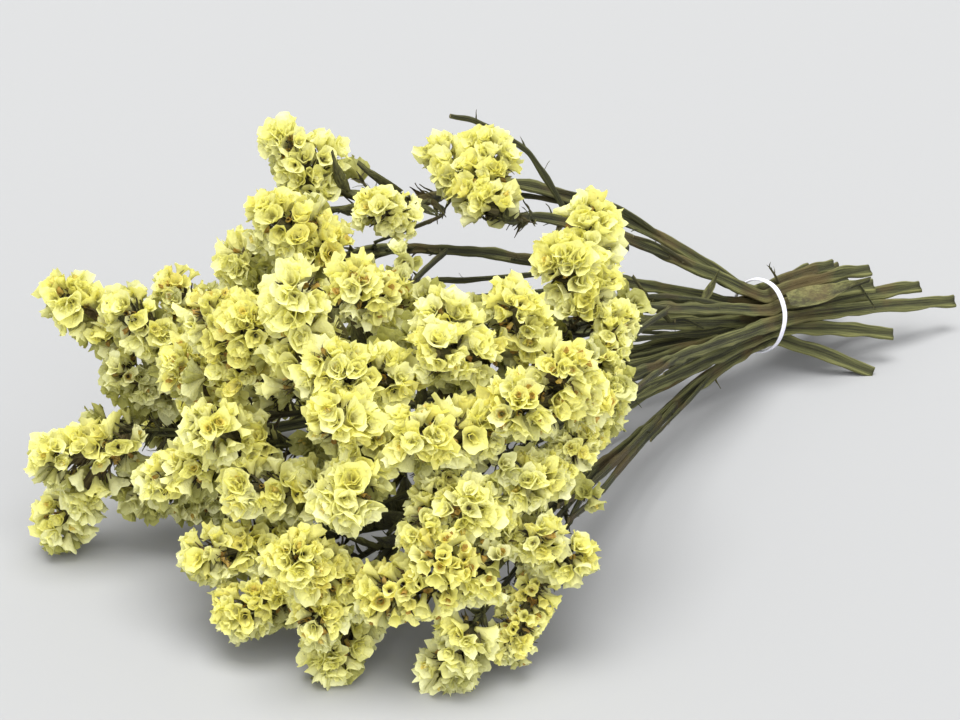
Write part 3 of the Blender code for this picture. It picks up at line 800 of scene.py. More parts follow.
class Route:
    """A smooth line that a tube follows."""

    def __init__(
        self, points: list[Vector], radii: list[float], steps: int, turns: list[float] | None = None
    ) -> None:
        """Works out the line's stations.

        Args:
            points: the points that it passes.
            radii: share of a stem's radius at each of them.
            steps: how many stretches lie between two of them.
            turns: turn of the section at each of them, in radians; none for a straight section.
        """
        line = smooth_path(points, steps) if steps > 1 else points
        self.stations: list[Station] = []
        along = 0.0
        for index, origin in enumerate(line):
            before = line[max(0, index - 1)]
            after = line[min(len(line) - 1, index + 1)]
            ahead = (after - before).normalized()
            side = ahead.cross(Vector((0, 0, 1))).normalized()
            rise = side.cross(ahead).normalized()
            along += (origin - before).length
            place = index / steps
            turn = between(turns, place) if turns else 0.0
            self.stations.append(Station(origin, side, rise, between(radii, place), turn, along))

    def at(self, share: float) -> Station:
        """Returns the station nearest to this share of the route."""
        return self.stations[round(share * (len(self.stations) - 1))]

    def tube(self, sides: int, wings: int, waviness: float) -> bpy.types.Mesh:
        """Returns a winged tube along the route.

        Args:
            sides: how many sides it has.
            wings: how many wings stand out from it; 0 is a round rod.
            waviness: how uneven the wings' edges are, as a share of their height.

        Returns:
            The mesh; its trait holds wing, distance and tone, where a cut end's tone is 1.
        """
        work, corners = unit_tube(sides, len(self.stations) - 1, True)
        trait, grain = (work.verts.layers.float_vector[layer] for layer in LAYERS)
        for vert, angle, share in corners:
            station = self.at(share)
            wing = abs(math.cos((angle - math.pi / 2) * wings / 2)) ** WING_SHARPNESS if wings else 1.0
            edge = 1 + waviness * ripple(station.origin + Vector((angle * WING_DRIFT, 0, 0)), WING_RIPPLE)
            reach = STEM_WAIST + (edge - STEM_WAIST) * wing
            radius = STEM_RADIUS * station.radius * reach
            knot = 1 + KNOT * ripple(station.origin, KNOT_SIZE)
            vert.co = station.origin + station.outward(angle + station.turn) * radius * knot
            vert[trait] = (wing, station.along, 0)
            vert[grain] = (math.cos(angle), math.sin(angle), station.along * STALK_GRAIN)
        caps = [face for face in work.faces if len(face.verts) > 4]
        for cap in caps:
            bmesh.ops.inset_individual(work, faces=[cap], thickness=CUT_RIM * self.stations[0].radius)
            for vert in cap.verts:
                vert[trait].z = 1
        return as_shape(work, "tube")


@dataclass
class Stalk:
    """A stem with its branches, twig and bracts, grown along the same lines as its solid.

    Args:
        stem: the stem.
        stock: the small shapes.
        gathering: the mesh that it grows in.
        routes: the lines of its branches, by the names of their heads.
        leaf_spacing: length of branch for each small leaf, in metres.
        leafy: the shares of the main stem and of a branch where the leaves start.
        waviness: of the wings of a stem, a branch and a thin shoot.
        side_shoots: how many thin shoots run beside it.
        shoot_zone: the shares of the main stem between which they leave it.
        shoot_away: how far a shoot's three points stand off the stem, in mm.
    """

    stem: Stem
    stock: Stock
    gathering: Gathering = field(default_factory=Gathering)
    routes: dict[str, Route] = field(default_factory=dict)
    leaf_spacing: float = 2.3 * MM
    leafy: tuple[float, float] = (0.72, 0.35)
    waviness: tuple[float, float, float] = (0.42, 0.3, 0.5)
    side_shoots: int = 2
    shoot_zone: tuple[float, float] = (0.34, 0.62)
    shoot_away: Millimetres = (4, 6, 5)

    def __post_init__(self) -> None:
        """Gives the stem its own chance."""
        self.chance = random.Random(f"{self.stem.name} {SEED}")

    def route(self) -> tuple[list[Vector], list[float], list[float], int, int]:
        """Works out the line of the main stem.

        Returns:
            Its points, radii and turns, and which points follow the band and the fork.
        """
        stem = self.stem
        first = stem.heads[0]
        butt = first.start()
        lead = butt - first.axis() * STRAIGHT_END
        fork = Vector(stem.fork) * MM
        way = [Vector(point) * MM for point in stem.way]
        cut_end = Vector(stem.cut_end) * MM
        half_way = cut_end.lerp(stem.in_band(BAND_ZONE), 0.5) + Vector((0, 0, STEM_SWELL))
        outer = smooth_path([cut_end, half_way, stem.in_band(BAND_ZONE)], 2)
        inner = smooth_path([stem.in_band(-BAND_ZONE), *way, fork, lead], 2 if way else 3)
        points = [*outer, *inner, butt]
        start = len(outer)
        fork_at = min(range(len(points)), key=lambda index: (points[index] - fork).length)
        radii = [1.0] * start
        radii += evenly(1, FORK_TAPER, fork_at - start)
        radii += evenly(FORK_TAPER, TIP_TAPER, len(points) - 1 - fork_at)
        radii.append(TIP_TAPER)
        turn = self.chance.uniform(-STEM_TURN, STEM_TURN)
        turns = [turn * max(0, index - start) / len(points) for index in range(len(points))]
        return points, radii, turns, start, fork_at

    def grow(self) -> None:
        """Grows the stem, its branches, its twig and its bracts."""
        points, radii, turns, start, fork_at = self.route()
        main = Route(points, radii, STATIONS, turns)
        self.routes[self.stem.heads[0].name] = main
        self.gathering.add(main.tube(STEM_SIDES, 3, self.waviness[0]), Matrix(), 0)
        for head in self.stem.heads[1:]:
            leave = points[max(start + 1, fork_at - self.chance.choice((0, 1)))]
            end = head.start()
            bow = (leave - points[start + 1]).normalized() * BRANCH_BOW
            middle = leave.lerp(end, BRANCH_BOW_AT) + bow
            line = [*smooth_path([leave, middle, end - head.axis() * STRAIGHT_END], 2), end]
            shares = taper(BRANCH_TAPER, BRANCH_TIP_TAPER, line)
            branch = self.add_rod(line, shares, STATIONS, self.waviness[1])
            self.routes[head.name] = branch
            self.leaf_over(branch, self.leafy[1])
        self.leaf_over(main, self.leafy[0])
        for leaf in self.stem.leaves:
            self.add_leaf(leaf)
        for shoot in self.stem.shoots:
            self.grow_shoot([Vector(point) * MM for point in shoot])
        for _ in range(self.side_shoots):
            self.grow_side_shoot(main)
        if self.stem.twig:
            self.grow_twig()
        for index in range(start + 2, len(points) - 1, BRACT_EVERY):
            along = (points[index + 1] - points[index]).normalized()
            lean = tilted(self.chance, along, BRACT_LEAN)
            self.add_blade(points[index], lean, self.chance.uniform(0.9, 1.2))

    def add_rod(self, line: list[Vector], shares: list[float], steps: int, waviness: float) -> Route:
        """Adds a branch, twig or shoot with two wings.

        Args:
            line: the points that it passes.
            shares: its radius at each of them, as a share of a stem's.
            steps: how many stretches lie between two of them.
            waviness: how uneven its wings' edges are.

        Returns:
            Its route.
        """
        rod = Route(line, shares, steps)
        self.gathering.add(rod.tube(BRANCH_SIDES, 2, waviness), Matrix(), 0)
        return rod

    def add_leaf(self, leaf: DryLeaf) -> None:
        """Adds one of the larger leaves."""
        root = Vector(leaf.root) * MM
        line = Vector(leaf.tip) * MM - root
        width = leaf.width * MM
        form = LeafForm(line.length, width, width * LARGE_LEAF_CUP, line.length * LARGE_LEAF_BEND, LEAF_CELLS)
        self.gathering.add(form.mesh(self.chance), aimed(root, line, leaf.turn), LARGE_LEAF_TONE)

    def grow_shoot(self, line: list[Vector]) -> None:
        """Grows one thin shoot with small bracts along this line."""
        chance = random.Random(f"{self.stem.name} {line[-1].x:.5f}")
        path = smooth_path(line, 3)
        ahead = line[-1] - line[0]
        thick = SHOOT_SHARE * (LEAST_SHOOT + ahead.length / SHOOT_LENGTH)
        shares = [thick * (1 - SHOOT_TAPER * index / len(path)) for index in range(len(path))]
        shoot = self.add_rod(path, shares, 3, self.waviness[2])
        for _ in range(2 * len(line)):
            root = shoot.at(chance.random()).origin
            way = tilted(chance, ahead.normalized(), chance.uniform(0.2, 0.8))
            self.gathering.scatter(chance, self.stock.points, root, way, (-0.2, 0.3), (0.4, 0.9))

    def grow_side_shoot(self, main: Route) -> None:
        """Grows a thin shoot that leaves the stem between the band and the fork and runs beside it."""
        chance = random.Random(f"{self.stem.name} side {len(self.gathering.work.verts)}")
        place = chance.uniform(*self.shoot_zone)
        root = main.at(place)
        after = [main.at(place + step) for step in (0.05, 0.1, 0.15)]
        out = root.outward(chance.uniform(0, math.tau))
        near, far, tip = self.shoot_away
        away = [near, far, tip + chance.uniform(-3, 4)]
        self.grow_shoot([root.origin] + [by.origin + out * gap * MM for by, gap in zip(after, away)])

    def leaf_over(self, route: Route, start: float) -> None:
        """Sets small dry leaves on a route, from this share of its length on."""
        chance = random.Random(f"{self.stem.name} leaves {route.stations[-1].along:.5f}")
        length = route.stations[-1].along
        for _ in range(round(length * (1 - start) / self.leaf_spacing)):
            station = route.at(chance.uniform(start, 1))
            ahead = station.side.cross(station.rise).normalized()
            out = station.outward(chance.uniform(0, math.tau))
            way = (-ahead if ahead.x > 0 else ahead) + out * chance.uniform(0.4, 1.4)
            self.gathering.scatter(chance, self.stock.blades, station.origin, way, (-0.3, 0.2), (0.6, 1.2))

    def grow_twig(self) -> None:
        """Grows the bare twig with its small bracts."""
        line = [Vector(point) * MM for point in self.stem.twig]
        self.add_rod(line, taper(TWIG_TAPER, TWIG_TIP_TAPER, line), STATIONS, self.waviness[2])
        for near, far in zip(line[1:], line[2:]):
            ahead = (far - near).normalized()
            side = ahead.cross(Vector((0, 1, 0))) * self.chance.choice((-1, 1))
            self.add_blade(near, ahead + side, 0.6)

    def add_blade(self, origin: Vector, direction: Vector, size: float) -> None:
        """Adds one narrow dry leaf of this size, as a share of its own, with its root at this point."""
        own = random.Random(f"{origin.x:.5f} {origin.z:.5f}")
        placement = aimed(origin, direction, own.uniform(0, math.tau)) @ Matrix.Scale(size, 4)
        self.gathering.add(own.choice(self.stock.blades), placement, own.uniform(-0.2, 0.2))


@dataclass(frozen=True)
class Spike:
    """One spike of a head.

    Args:
        root: where it starts.
        end: where its last calyces root.
        facing: the way that its calyces face.
    """

    root: Vector
    end: Vector
    facing: Vector

    def along(self) -> Vector:
        """Returns its direction."""
        return (self.end - self.root).normalized()

    def distance(self, point: Vector) -> float:
        """Returns the distance of a point from its axis."""
        line = self.end - self.root
        share = max(0.0, min(1.0, (point - self.root).dot(line) / line.length_squared))
        return (point - (self.root + line * share)).length


@dataclass
class FlowerHead:
    """A head: spikes of papery calyces over a rachis with scales.

    Args:
        head: the head.
        stock: the small shapes.
        branch: the branch that carries it.
        paper: the mesh of its calyces.
        green: the mesh of its rachis, scales and twigs.
        rims: middles of the rims so far.
        girth: from a spike's axis to its rims, in metres.
        tip_inset: from a spike's tip back to its last calyx's root, in metres.
        rachis: radius of the rachis, in metres.
        lumps: how far the spike's surface swells and sinks, in metres.
        lump_size: width of a swelling, in metres.
        hollow: the swelling's noise below which no calyx grows.
        tries: how often a place for a calyx is tried.
        crowded: the least distance from another spike's axis, as a share of the girth.
        rim_wobble: how unevenly far out the calyces stand, in metres.
        painted_shade_tone: painted shade, the tone added to the calyces that face away from the light, which
            darkens them toward olive.
        shade_start: the share of that painted shade that a calyx square to the lit side has.
        shade_rise: how soon the painted shade grows as a calyx turns away from the light.
        fold_height: how high the folds sit, as a share of the calyx.
        fold_tone: tone added to them.
        twiglet_zone: the length of branch that twiglets grow on, in metres.
        twiglet_reach: how far they stand out, in metres.
    """

    head: Head
    stock: Stock
    branch: Route
    paper: Gathering = field(default_factory=Gathering)
    green: Gathering = field(default_factory=Gathering)
    rims: list[Vector] = field(default_factory=list)
    girth: float = 12.3 * MM
    tip_inset: float = 4.0 * MM
    rachis: float = 2.4 * MM
    lumps: float = 3.6 * MM
    lump_size: float = 8 * MM
    hollow: float = -0.25
    tries: int = 1200
    crowded: float = 0.74
    rim_wobble: float = 1 * MM
    painted_shade_tone: float = -0.32
    shade_start: float = 0.1
    shade_rise: float = 1.2
    fold_height: float = 0.46
    fold_tone: float = 0.04
    twiglet_zone: float = 34 * MM
    twiglet_reach: float = 17 * MM

    def __post_init__(self) -> None:
        """Gives the head its own chance and its look's manner."""
        self.chance = random.Random(f"{self.head.name} calyces {SEED}")
        self.manner = MANNERS[self.head.look]

    def spikes(self) -> list[Spike]:
        """Returns the head's spikes."""
        neck = self.head.neck()
        spikes = []
        for tip in self.head.ends():
            along = (tip - neck).normalized()
            facing = neck.lerp(tip, 0.5) - FAN_MIDDLE
            facing = (facing - facing.project(along)).normalized()
            spikes.append(Spike(neck - along * NECK * SPIKE_START, tip - along * self.tip_inset, facing))
        return spikes

    def grow(self) -> None:
        """Grows the calyces, the rachis with its scales, and the side twigs."""
        spikes = self.spikes()
        for spike in spikes:
            self.grow_spike(spike, [other for other in spikes if other is not spike])
            self.grow_rachis(spike)
        for _ in range(self.head.twiglets):
            self.grow_twiglet()

    def grow_twiglet(self) -> None:
        """Grows one thin side twig behind the head, with bracts along it and a few calyces at its tip."""
        chance = self.chance
        stations = self.branch.stations
        back = stations[-1].along - chance.uniform(0.1, 1) * self.twiglet_zone
        station = min(stations, key=lambda each: abs(each.along - back))
        ahead = (stations[-1].origin - stations[-2].origin).normalized()
        out = station.outward(chance.uniform(0, math.tau))
        reach = self.twiglet_reach * chance.uniform(0.7, 1.2)
        elbow = station.origin + (out + ahead * 0.6).normalized() * reach * 0.5
        tip = elbow + (out * 0.8 + ahead).normalized() * reach * 0.6
        if tip.z < self.twiglet_reach * 0.8:
            return
        path = smooth_path([station.origin, elbow, tip], 2)
        twig = Route(path, [TWIGLET_SHARE] * len(path), 2)
        self.green.add(twig.tube(BRANCH_SIDES, 2, TWIGLET_WAVINESS), Matrix(), 0)
        outer = (tip - elbow).normalized()
        for _ in range(TWIGLET_BRACTS):
            foot = station.origin.lerp(tip, chance.uniform(0.2, 1))
            way = tilted(chance, outer, chance.uniform(0.3, 1.1))
            self.green.scatter(chance, self.stock.points, foot, way, (-0.2, 0.4))
        for _ in range(chance.choice(TWIGLET_CALYCES)):
            way = tilted(chance, outer, chance.uniform(0.1, 1.3))
            foot = tip + way * chance.uniform(0, 2.5) * MM
            size = self.head.size * chance.uniform(0.75, 1.1)
            # Calyces on a twiglet behind the head get the full painted shade.
            self.add_calyx(foot, way, size, self.painted_shade_tone)

    def grow_spike(self, spike: Spike, others: list[Spike]) -> None:
        """Covers one spike with calyces, and with bare bracts in its hollows.

        Args:
            spike: the spike.
            others: the head's other spikes, which leave no room for calyces near them.
        """
        chance = self.chance
        size = self.head.size
        along = spike.along()
        reach = (spike.end - spike.root).length
        girth = self.girth * size
        cap = girth * CAP_SHARE
        for _ in range(self.tries):
            place = chance.uniform(0, reach + cap)
            angle = chance.gauss(0, ROUND_SPREAD)
            if abs(angle) > ROUND_LIMIT:
                continue
            out = turned(spike.facing, angle, along)
            lean = math.radians(chance.uniform(0, MOST_LEAN))
            if place > reach:
                lean = math.pi / 2 * min(1, 0.3 + 0.7 * (place - reach) / cap)
            direction = out * math.cos(lean) + along * math.sin(lean)
            axis_point = spike.root + along * min(place, reach)
            rim = axis_point + direction * self.girth * size
            spacing = self.manner.spacing * size * chance.uniform(*SPACING_SPREAD)
            if any((rim - other).length < spacing for other in self.rims):
                continue
            if any(other.distance(rim) < girth * self.crowded for other in others):
                continue
            self.rims.append(rim)
            lump = ripple(rim, self.lump_size)
            height = girth + lump * self.lumps + chance.uniform(-1, 1) * self.rim_wobble
            if lump > self.hollow:
                # Painted shade: the further a calyx faces away from the lit side, the darker toward olive its
                # tone.
                away = max(0.0, min(1.0, self.shade_start - self.shade_rise * direction.dot(LIT_SIDE)))
                for _ in range(chance.choice((1, 1, 2))):
                    share = size * chance.uniform(*CALYX_SIZES)
                    foot = axis_point + direction * (height - self.manner.form.length * share)
                    way = tilted(chance, direction, abs(chance.gauss(0, self.manner.tilt)))
                    self.add_calyx(foot, way, share, self.painted_shade_tone * away)
                bracts = chance.choice((0, 0, 1))
            else:
                foot = axis_point + direction * (height - chance.uniform(*CRUMB_DEPTH) * MM)
                crumb = aimed(foot, tilted(chance, direction, chance.uniform(0, 0.9)), chance.uniform(0, 6))
                self.paper.add(chance.choice(self.stock.hearts), crumb, chance.uniform(0.78, 1.0))
                bracts = 3
            for _ in range(bracts):
                foot = axis_point + direction * (height - chance.uniform(*BRACT_DEPTH) * MM)
                way = tilted(chance, direction, chance.uniform(0.2, 0.9))
                self.green.scatter(chance, self.stock.points, foot, way, (-0.1, 0.4))

    def add_calyx(self, foot: Vector, direction: Vector, size: float, shade: float) -> None:
        """Adds one calyx, with its folds and its corolla where it has them.

        Args:
            foot: its root.
            direction: the way it faces.
            size: its size, as a share of its form's.
            shade: painted shade, what is added to its tone to darken a calyx that faces away from the light.
        """
        chance = self.chance
        manner = self.manner
        placement = aimed(foot, direction, chance.uniform(0, math.tau)) @ Matrix.Scale(size, 4)
        tone = manner.tone + shade + chance.uniform(-manner.spread, manner.spread)
        self.paper.add(chance.choice(self.stock.calyces[self.head.look]), placement, tone)
        if manner.folded:
            fold = placement @ Matrix.Translation((0, 0, manner.form.length * self.fold_height))
            self.paper.add(chance.choice(self.stock.folds), fold, tone + self.fold_tone)
        if chance.random() < manner.hearts:
            heart = placement @ Matrix.Translation((0, 0, manner.form.length * 0.5))
            self.paper.add(chance.choice(self.stock.hearts), heart, manner.heart_tone)

    def grow_rachis(self, spike: Spike) -> None:
        """Grows the rachis of one spike and the scales along its back."""
        chance = self.chance
        root = spike.root
        end = spike.end
        along = spike.along()
        share = self.rachis / STEM_RADIUS
        line = [self.head.start(), root.lerp(end, 0.3), end]
        rod = Route(line, [share * 0.6, share, share * 0.7], 4)
        self.green.add(rod.tube(BRANCH_SIDES, 0, RACHIS_WAVINESS), Matrix(), 0)
        rows = round((end - root).length / SCALE_ROW)
        for row in range(rows):
            for column in range(SCALE_COLUMNS):
                step = (column + 0.5 * (row % 2)) / SCALE_STEPS
                angle = math.radians(SCALE_START + SCALE_TURN * step + chance.uniform(-12, 12))
                out = turned(spike.facing, angle, along)
                foot = root.lerp(end, (row + chance.uniform(0, 0.6)) / rows) + out * self.rachis * 0.8
                lean = along + out * chance.uniform(0.5, 1.5)
                placement = aimed(foot, lean, facing_roll(lean, out))
                placement = placement @ Matrix.Scale(chance.uniform(0.8, 1.25), 4)
                self.green.add(chance.choice(self.stock.bracts), placement, chance.uniform(-0.2, 0.3))


@dataclass
class ElasticBand:
    """The elastic band round the stems, in the place of its solid.

    Args:
        width: of the elastic, in metres.
        thickness: of the elastic, in metres.
        slant: how far its loop leans, as a share of its height.
        back: how far it sits toward the heads from its solid's middle, in metres.
        sides: how many sides its section has.
        rings: how many sections it has.
        ribs: how many ribs run along it.
        rib_height: height of the ribs, in metres.
        swell: how far the loop sways along the stems, in metres.
        shiver: how far it sways in shorter waves, in metres.
        flatness: how square the section's ends are; 1 is round.
        edge: how square its edges are; 1 is round.
    """

    width: float = 2.9 * MM
    thickness: float = 1.1 * MM
    slant: float = 0.12
    back: float = 3 * MM
    sides: int = 20
    rings: int = 144
    ribs: int = 3
    rib_height: float = 0.06 * MM
    swell: float = 0.25 * MM
    shiver: float = 0.15 * MM
    flatness: float = 0.45
    edge: float = 0.6

    def piece(self, material: bpy.types.Material) -> bpy.types.Object:
        """Returns the band as a piece."""
        low, high = (Vector(corner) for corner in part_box("band"))
        middle = (low + high) / 2 - Vector((self.back, 0, 0))
        half_y = (high.y - low.y) / 2 - self.thickness / 2
        half_z = (high.z - low.z) / 2 - self.thickness / 2
        work, corners = unit_tube(self.sides, self.rings, False)
        trait = work.verts.layers.float_vector["trait"]
        for vert, angle, share in corners:
            turn = share * math.tau
            across = math.cos(angle)
            flat = math.copysign(abs(across) ** self.flatness, across) * self.width / 2
            thick = math.copysign(abs(math.sin(angle)) ** self.edge, math.sin(angle)) * self.thickness / 2
            thick += self.rib_height * math.cos(self.ribs * math.tau * across / 2)
            sway = self.swell * math.sin(3 * turn + 1) + self.shiver * math.sin(7 * turn)
            y = (half_y + thick) * math.cos(turn)
            z = (half_z + thick) * math.sin(turn)
            vert.co = middle + Vector((flat + self.slant * z + sway, y, z))
            vert[trait] = (across, share, 0)
        bmesh.ops.remove_doubles(work, verts=work.verts, dist=SEAM)
        return as_piece(as_shape(work, "elastic_loop"), material)


class Nodes:
    """A node tree that nodes are added to one by one."""

    def __init__(self, tree: bpy.types.NodeTree) -> None:
        """Takes a node tree and empties it."""
        self.tree = tree
        tree.nodes.clear()

    @classmethod
    def of_material(cls, name: str) -> tuple[bpy.types.Material, Nodes]:
        """Returns a new material of this name and its nodes."""
        material = bpy.data.materials.new(name)
        material.use_nodes = True
        return material, cls(material.node_tree)

    def add(self, kind: str, inputs: dict | None = None, **settings: object) -> bpy.types.Node:
        """Adds a node.

        Args:
            kind: its type, without "ShaderNode".
            inputs: values, or sockets to link, by the name or number of the input.
            settings: the node's own settings.

        Returns:
            The node.
        """
        node = self.tree.nodes.new(kind if kind.startswith("Node") else "ShaderNode" + kind)
        for name, value in settings.items():
            setattr(node, name, value)
        for name, value in (inputs or {}).items():
            if isinstance(value, bpy.types.NodeSocket):
                self.tree.links.new(value, node.inputs[name])
            else:
                node.inputs[name].default_value = value
        return node

    def calc(self, operation: str, *values: object) -> bpy.types.NodeSocket:
        """Returns the result of this operation on these values or sockets."""
        return self.add("Math", dict(enumerate(values)), operation=operation).outputs[0]

    def blend(self, share: object, first: object, second: object, mode: str = "MIX") -> bpy.types.NodeSocket:
        """Returns the mix of two colours."""
        inputs = {"Factor": share, 6: first, 7: second}
        return self.add("Mix", inputs, data_type="RGBA", blend_type=mode).outputs[2]

    def product(self, *values: object) -> bpy.types.NodeSocket:
        """Returns the product of these two values or sockets."""
        return self.calc("MULTIPLY", *values)

    def layer(self, name: str) -> bpy.types.NodeSocket:
        """Returns what the vertices know under this name."""
        return self.add("Attribute", attribute_name=name).outputs["Vector"]

    def traits(self) -> bpy.types.bpy_prop_collection:
        """Returns the three numbers of the trait."""
        return self.add("SeparateXYZ", {0: self.layer("trait")}).outputs

    def place(self) -> bpy.types.NodeSocket:
        """Returns the place on the object."""
        return self.add("TexCoord").outputs["Object"]

    def cloud(self, place: object, scale: float, detail: float, roughness: float) -> bpy.types.NodeSocket:
        """Returns noise of 0 to 1 over this place."""
        inputs = {"Vector": place, "Scale": scale, "Detail": detail, "Roughness": roughness}
        return self.add("TexNoise", inputs).outputs[0]

    def blotches(self, group: bpy.types.NodeTree, place: object, finish: object) -> bpy.types.NodeSocket:
        """Returns the offset by the blotches at this place, with a finish's own scale and amount."""
        inputs = {"Place": place, "Scale": finish.blotch_scale, "Amount": finish.blotch_amount}
        return self.add("Group", node_tree=group, inputs=inputs).outputs[0]

    def bump(self, height: object, strength: float, distance: float) -> bpy.types.NodeSocket:
        """Returns the normal of a relief of this height, strength and depth in metres."""
        return self.add("Bump", {"Strength": strength, "Distance": distance, "Height": height}).outputs[0]

    def surface(
        self, colour: object, roughness: object, normal: object, gloss: float
    ) -> bpy.types.NodeSocket:
        """Returns the shader of a surface of this colour, roughness, relief and gloss."""
        inputs = {"Base Color": colour, "Roughness": roughness, "Normal": normal, "Specular IOR Level": gloss}
        return self.add("BsdfPrincipled", inputs).outputs[0]

    def ramp(self, value: object, stops: list[tuple[float, Colour]]) -> bpy.types.NodeSocket:
        """Returns the colour that a ramp of these stops gives for a value."""
        node = self.add("ValToRGB", {0: value})
        ramp = node.color_ramp
        while len(ramp.elements) < len(stops):
            ramp.elements.new(0.5)
        for element, (position, colour) in zip(ramp.elements, stops):
            element.position = position
            element.color = (*colour, 1)
        return node.outputs[0]


def blotch_group() -> bpy.types.NodeTree:
    """Returns the node group of soft uneven blotches over a surface."""
    tree = bpy.data.node_groups.new("blotches", "ShaderNodeTree")
    for name, way, kind in (
        ("Place", "INPUT", "Vector"),
        ("Scale", "INPUT", "Float"),
        ("Amount", "INPUT", "Float"),
        ("Offset", "OUTPUT", "Float"),
    ):
        tree.interface.new_socket(name, in_out=way, socket_type="NodeSocket" + kind)
    nodes = Nodes(tree)
    entry = nodes.add("NodeGroupInput").outputs
    cloud = nodes.cloud(entry["Place"], entry["Scale"], FINE_DETAIL, FINE_ROUGHNESS)
    centred = nodes.calc("SUBTRACT", cloud, 0.5)
    nodes.add("NodeGroupOutput", {0: nodes.product(centred, entry["Amount"])})
    return tree


@dataclass(frozen=True)
class PaperFinish:
    """Papery calyx: pale lemon, thin enough to glow, ribbed and a little blotched.

    Args:
        olive, cream, lemon, gold, ochre, brown: the colours of the tones, from least to greatest; olive serves
            mostly as painted shade for calyces that face away from the light or lie in shade.
        throat: colour of the painted shade deep in the funnel.
        throat_shade_share: how strong that painted shade is at the root.
        vein: colour of the ribs.
        vein_share: how strong it is on a rib.
        through: colour of the light that passes the paper.
        glow: share of that light.
        blotch_scale, blotch_amount: of the blotches.
        crease_scale: of the creases.
        relief: depth of the creases, in metres.
    """

    olive: Colour = (0.44, 0.44, 0.14)
    cream: Colour = (0.92, 0.925, 0.56)
    lemon: Colour = (0.90, 0.88, 0.32)
    gold: Colour = (0.92, 0.82, 0.26)
    ochre: Colour = (0.66, 0.44, 0.14)
    brown: Colour = (0.26, 0.13, 0.03)
    throat: Colour = (0.44, 0.41, 0.10)
    throat_shade_share: float = 0.65
    vein: Colour = (0.80, 0.74, 0.26)
    vein_share: float = 0.35
    through: Colour = (1.0, 0.98, 0.62)
    glow: float = 0.42
    blotch_scale: float = 90.0
    blotch_amount: float = 0.25
    crease_scale: float = 420.0
    relief: float = 1.2 * MM

    def material(self, blotches: bpy.types.NodeTree) -> bpy.types.Material:
        """Returns the material."""
        material, nodes = Nodes.of_material("papery calyx")
        rib, height, tone = nodes.traits()
        place = nodes.place()
        mixed = nodes.calc("ADD", tone, nodes.blotches(blotches, place, self))
        stops = [
            # Olive, at the bottom of the ramp, is mostly painted shade.
            (0.0, self.olive),
            (0.18, self.cream),
            (0.42, self.lemon),
            (0.64, self.gold),
            (0.82, self.ochre),
            (1.0, self.brown),
        ]
        colour = nodes.ramp(mixed, stops)
        # Painted shade: darker toward olive deeper in the funnel, strongest at its root.
        depth = nodes.calc("POWER", nodes.calc("SUBTRACT", 1.0, height), 1.4)
        colour = nodes.blend(nodes.product(depth, self.throat_shade_share), colour, (*self.throat, 1))
        off_rib = nodes.calc("MINIMUM", nodes.product(rib, 5.0), 1.0)
        vein = nodes.product(nodes.calc("SUBTRACT", 1.0, off_rib), self.vein_share)
        colour = nodes.blend(vein, colour, (*self.vein, 1))
        creases = nodes.cloud(place, self.crease_scale, FINE_DETAIL, FINE_ROUGHNESS)
        bump = nodes.bump(nodes.calc("ADD", creases, nodes.product(vein, 0.6)), 0.8, self.relief)
        paper = nodes.surface(colour, 0.72, bump, 0.3)
        warm = nodes.blend(1.0, colour, (*self.through, 1), "MULTIPLY")
        through = nodes.add("BsdfTranslucent", {"Color": warm, "Normal": bump}).outputs[0]
        mix = nodes.add("MixShader", {0: self.glow, 1: paper, 2: through})
        nodes.add("OutputMaterial", {0: mix.outputs[0]})
        return material


@dataclass(frozen=True)
class StalkFinish:
    """Dry stalk or bract: streaks of grey green, olive and brown.

    Args:
        name: the material's name.
        dark: colour of the furrows.
        middle: the usual colour.
        light: colour of the raised streaks and of the wings' edges.
        dry: colour of the dead patches.
        cut: colour of the cut ends and of the palest bracts.
        streak_scale: of the streaks.
        patch_scale: of the dead patches.
        blotch_scale, blotch_amount: of the blotches.
        relief: depth of the furrows, in metres.
    """

    name: str
    dark: Colour
    middle: Colour
    light: Colour
    dry: Colour
    cut: Colour = (0.34, 0.29, 0.14)
    streak_scale: float = 5.0
    patch_scale: float = 28.0
    blotch_scale: float = 45.0
    blotch_amount: float = 0.5
    relief: float = 1.2 * MM

    def material(self, blotches: bpy.types.NodeTree) -> bpy.types.Material:
        """Returns the material."""
        material, nodes = Nodes.of_material(self.name)
        ridge, _, tone = nodes.traits()
        streaks = nodes.cloud(nodes.layer("grain"), self.streak_scale, 4.0, 0.65)
        # Lighter toward the wings' edges and darker at the waist between them.
        raised = nodes.product(nodes.calc("SUBTRACT", ridge, 0.5), 0.25)
        stops = [(0.34, self.dark), (0.52, self.middle), (0.72, self.light)]
        colour = nodes.ramp(nodes.calc("ADD", streaks, raised), stops)
        place = nodes.place()
        patch = nodes.cloud(place, self.patch_scale, FINE_DETAIL, 0.5)
        dead = nodes.add("MapRange", {0: patch, 1: 0.52, 2: 0.66}).outputs[0]
        colour = nodes.blend(nodes.product(dead, 0.7), colour, (*self.dry, 1))
        bright = nodes.calc("ADD", 1.0, nodes.blotches(blotches, place, self))
        grey = nodes.add("CombineColor", {0: bright, 1: bright, 2: bright}).outputs[0]
        colour = nodes.blend(1.0, colour, grey, "MULTIPLY")
        colour = nodes.blend(nodes.product(tone, 0.6), colour, (*self.cut, 1))
        shader = nodes.surface(colour, 0.7, nodes.bump(streaks, 1.0, self.relief), 0.35)
        nodes.add("OutputMaterial", {0: shader})
        return material


STALK_FINISH = StalkFinish(
    "dry stalk",
    dark=(0.018, 0.018, 0.006),
    middle=(0.070, 0.073, 0.021),
    light=(0.155, 0.156, 0.052),
    dry=(0.088, 0.058, 0.018),
)
BRACT_FINISH = StalkFinish(
    "dry bract",
    dark=(0.021, 0.018, 0.006),
    middle=(0.070, 0.063, 0.021),
    light=(0.150, 0.135, 0.052),
    dry=(0.100, 0.058, 0.020),
)


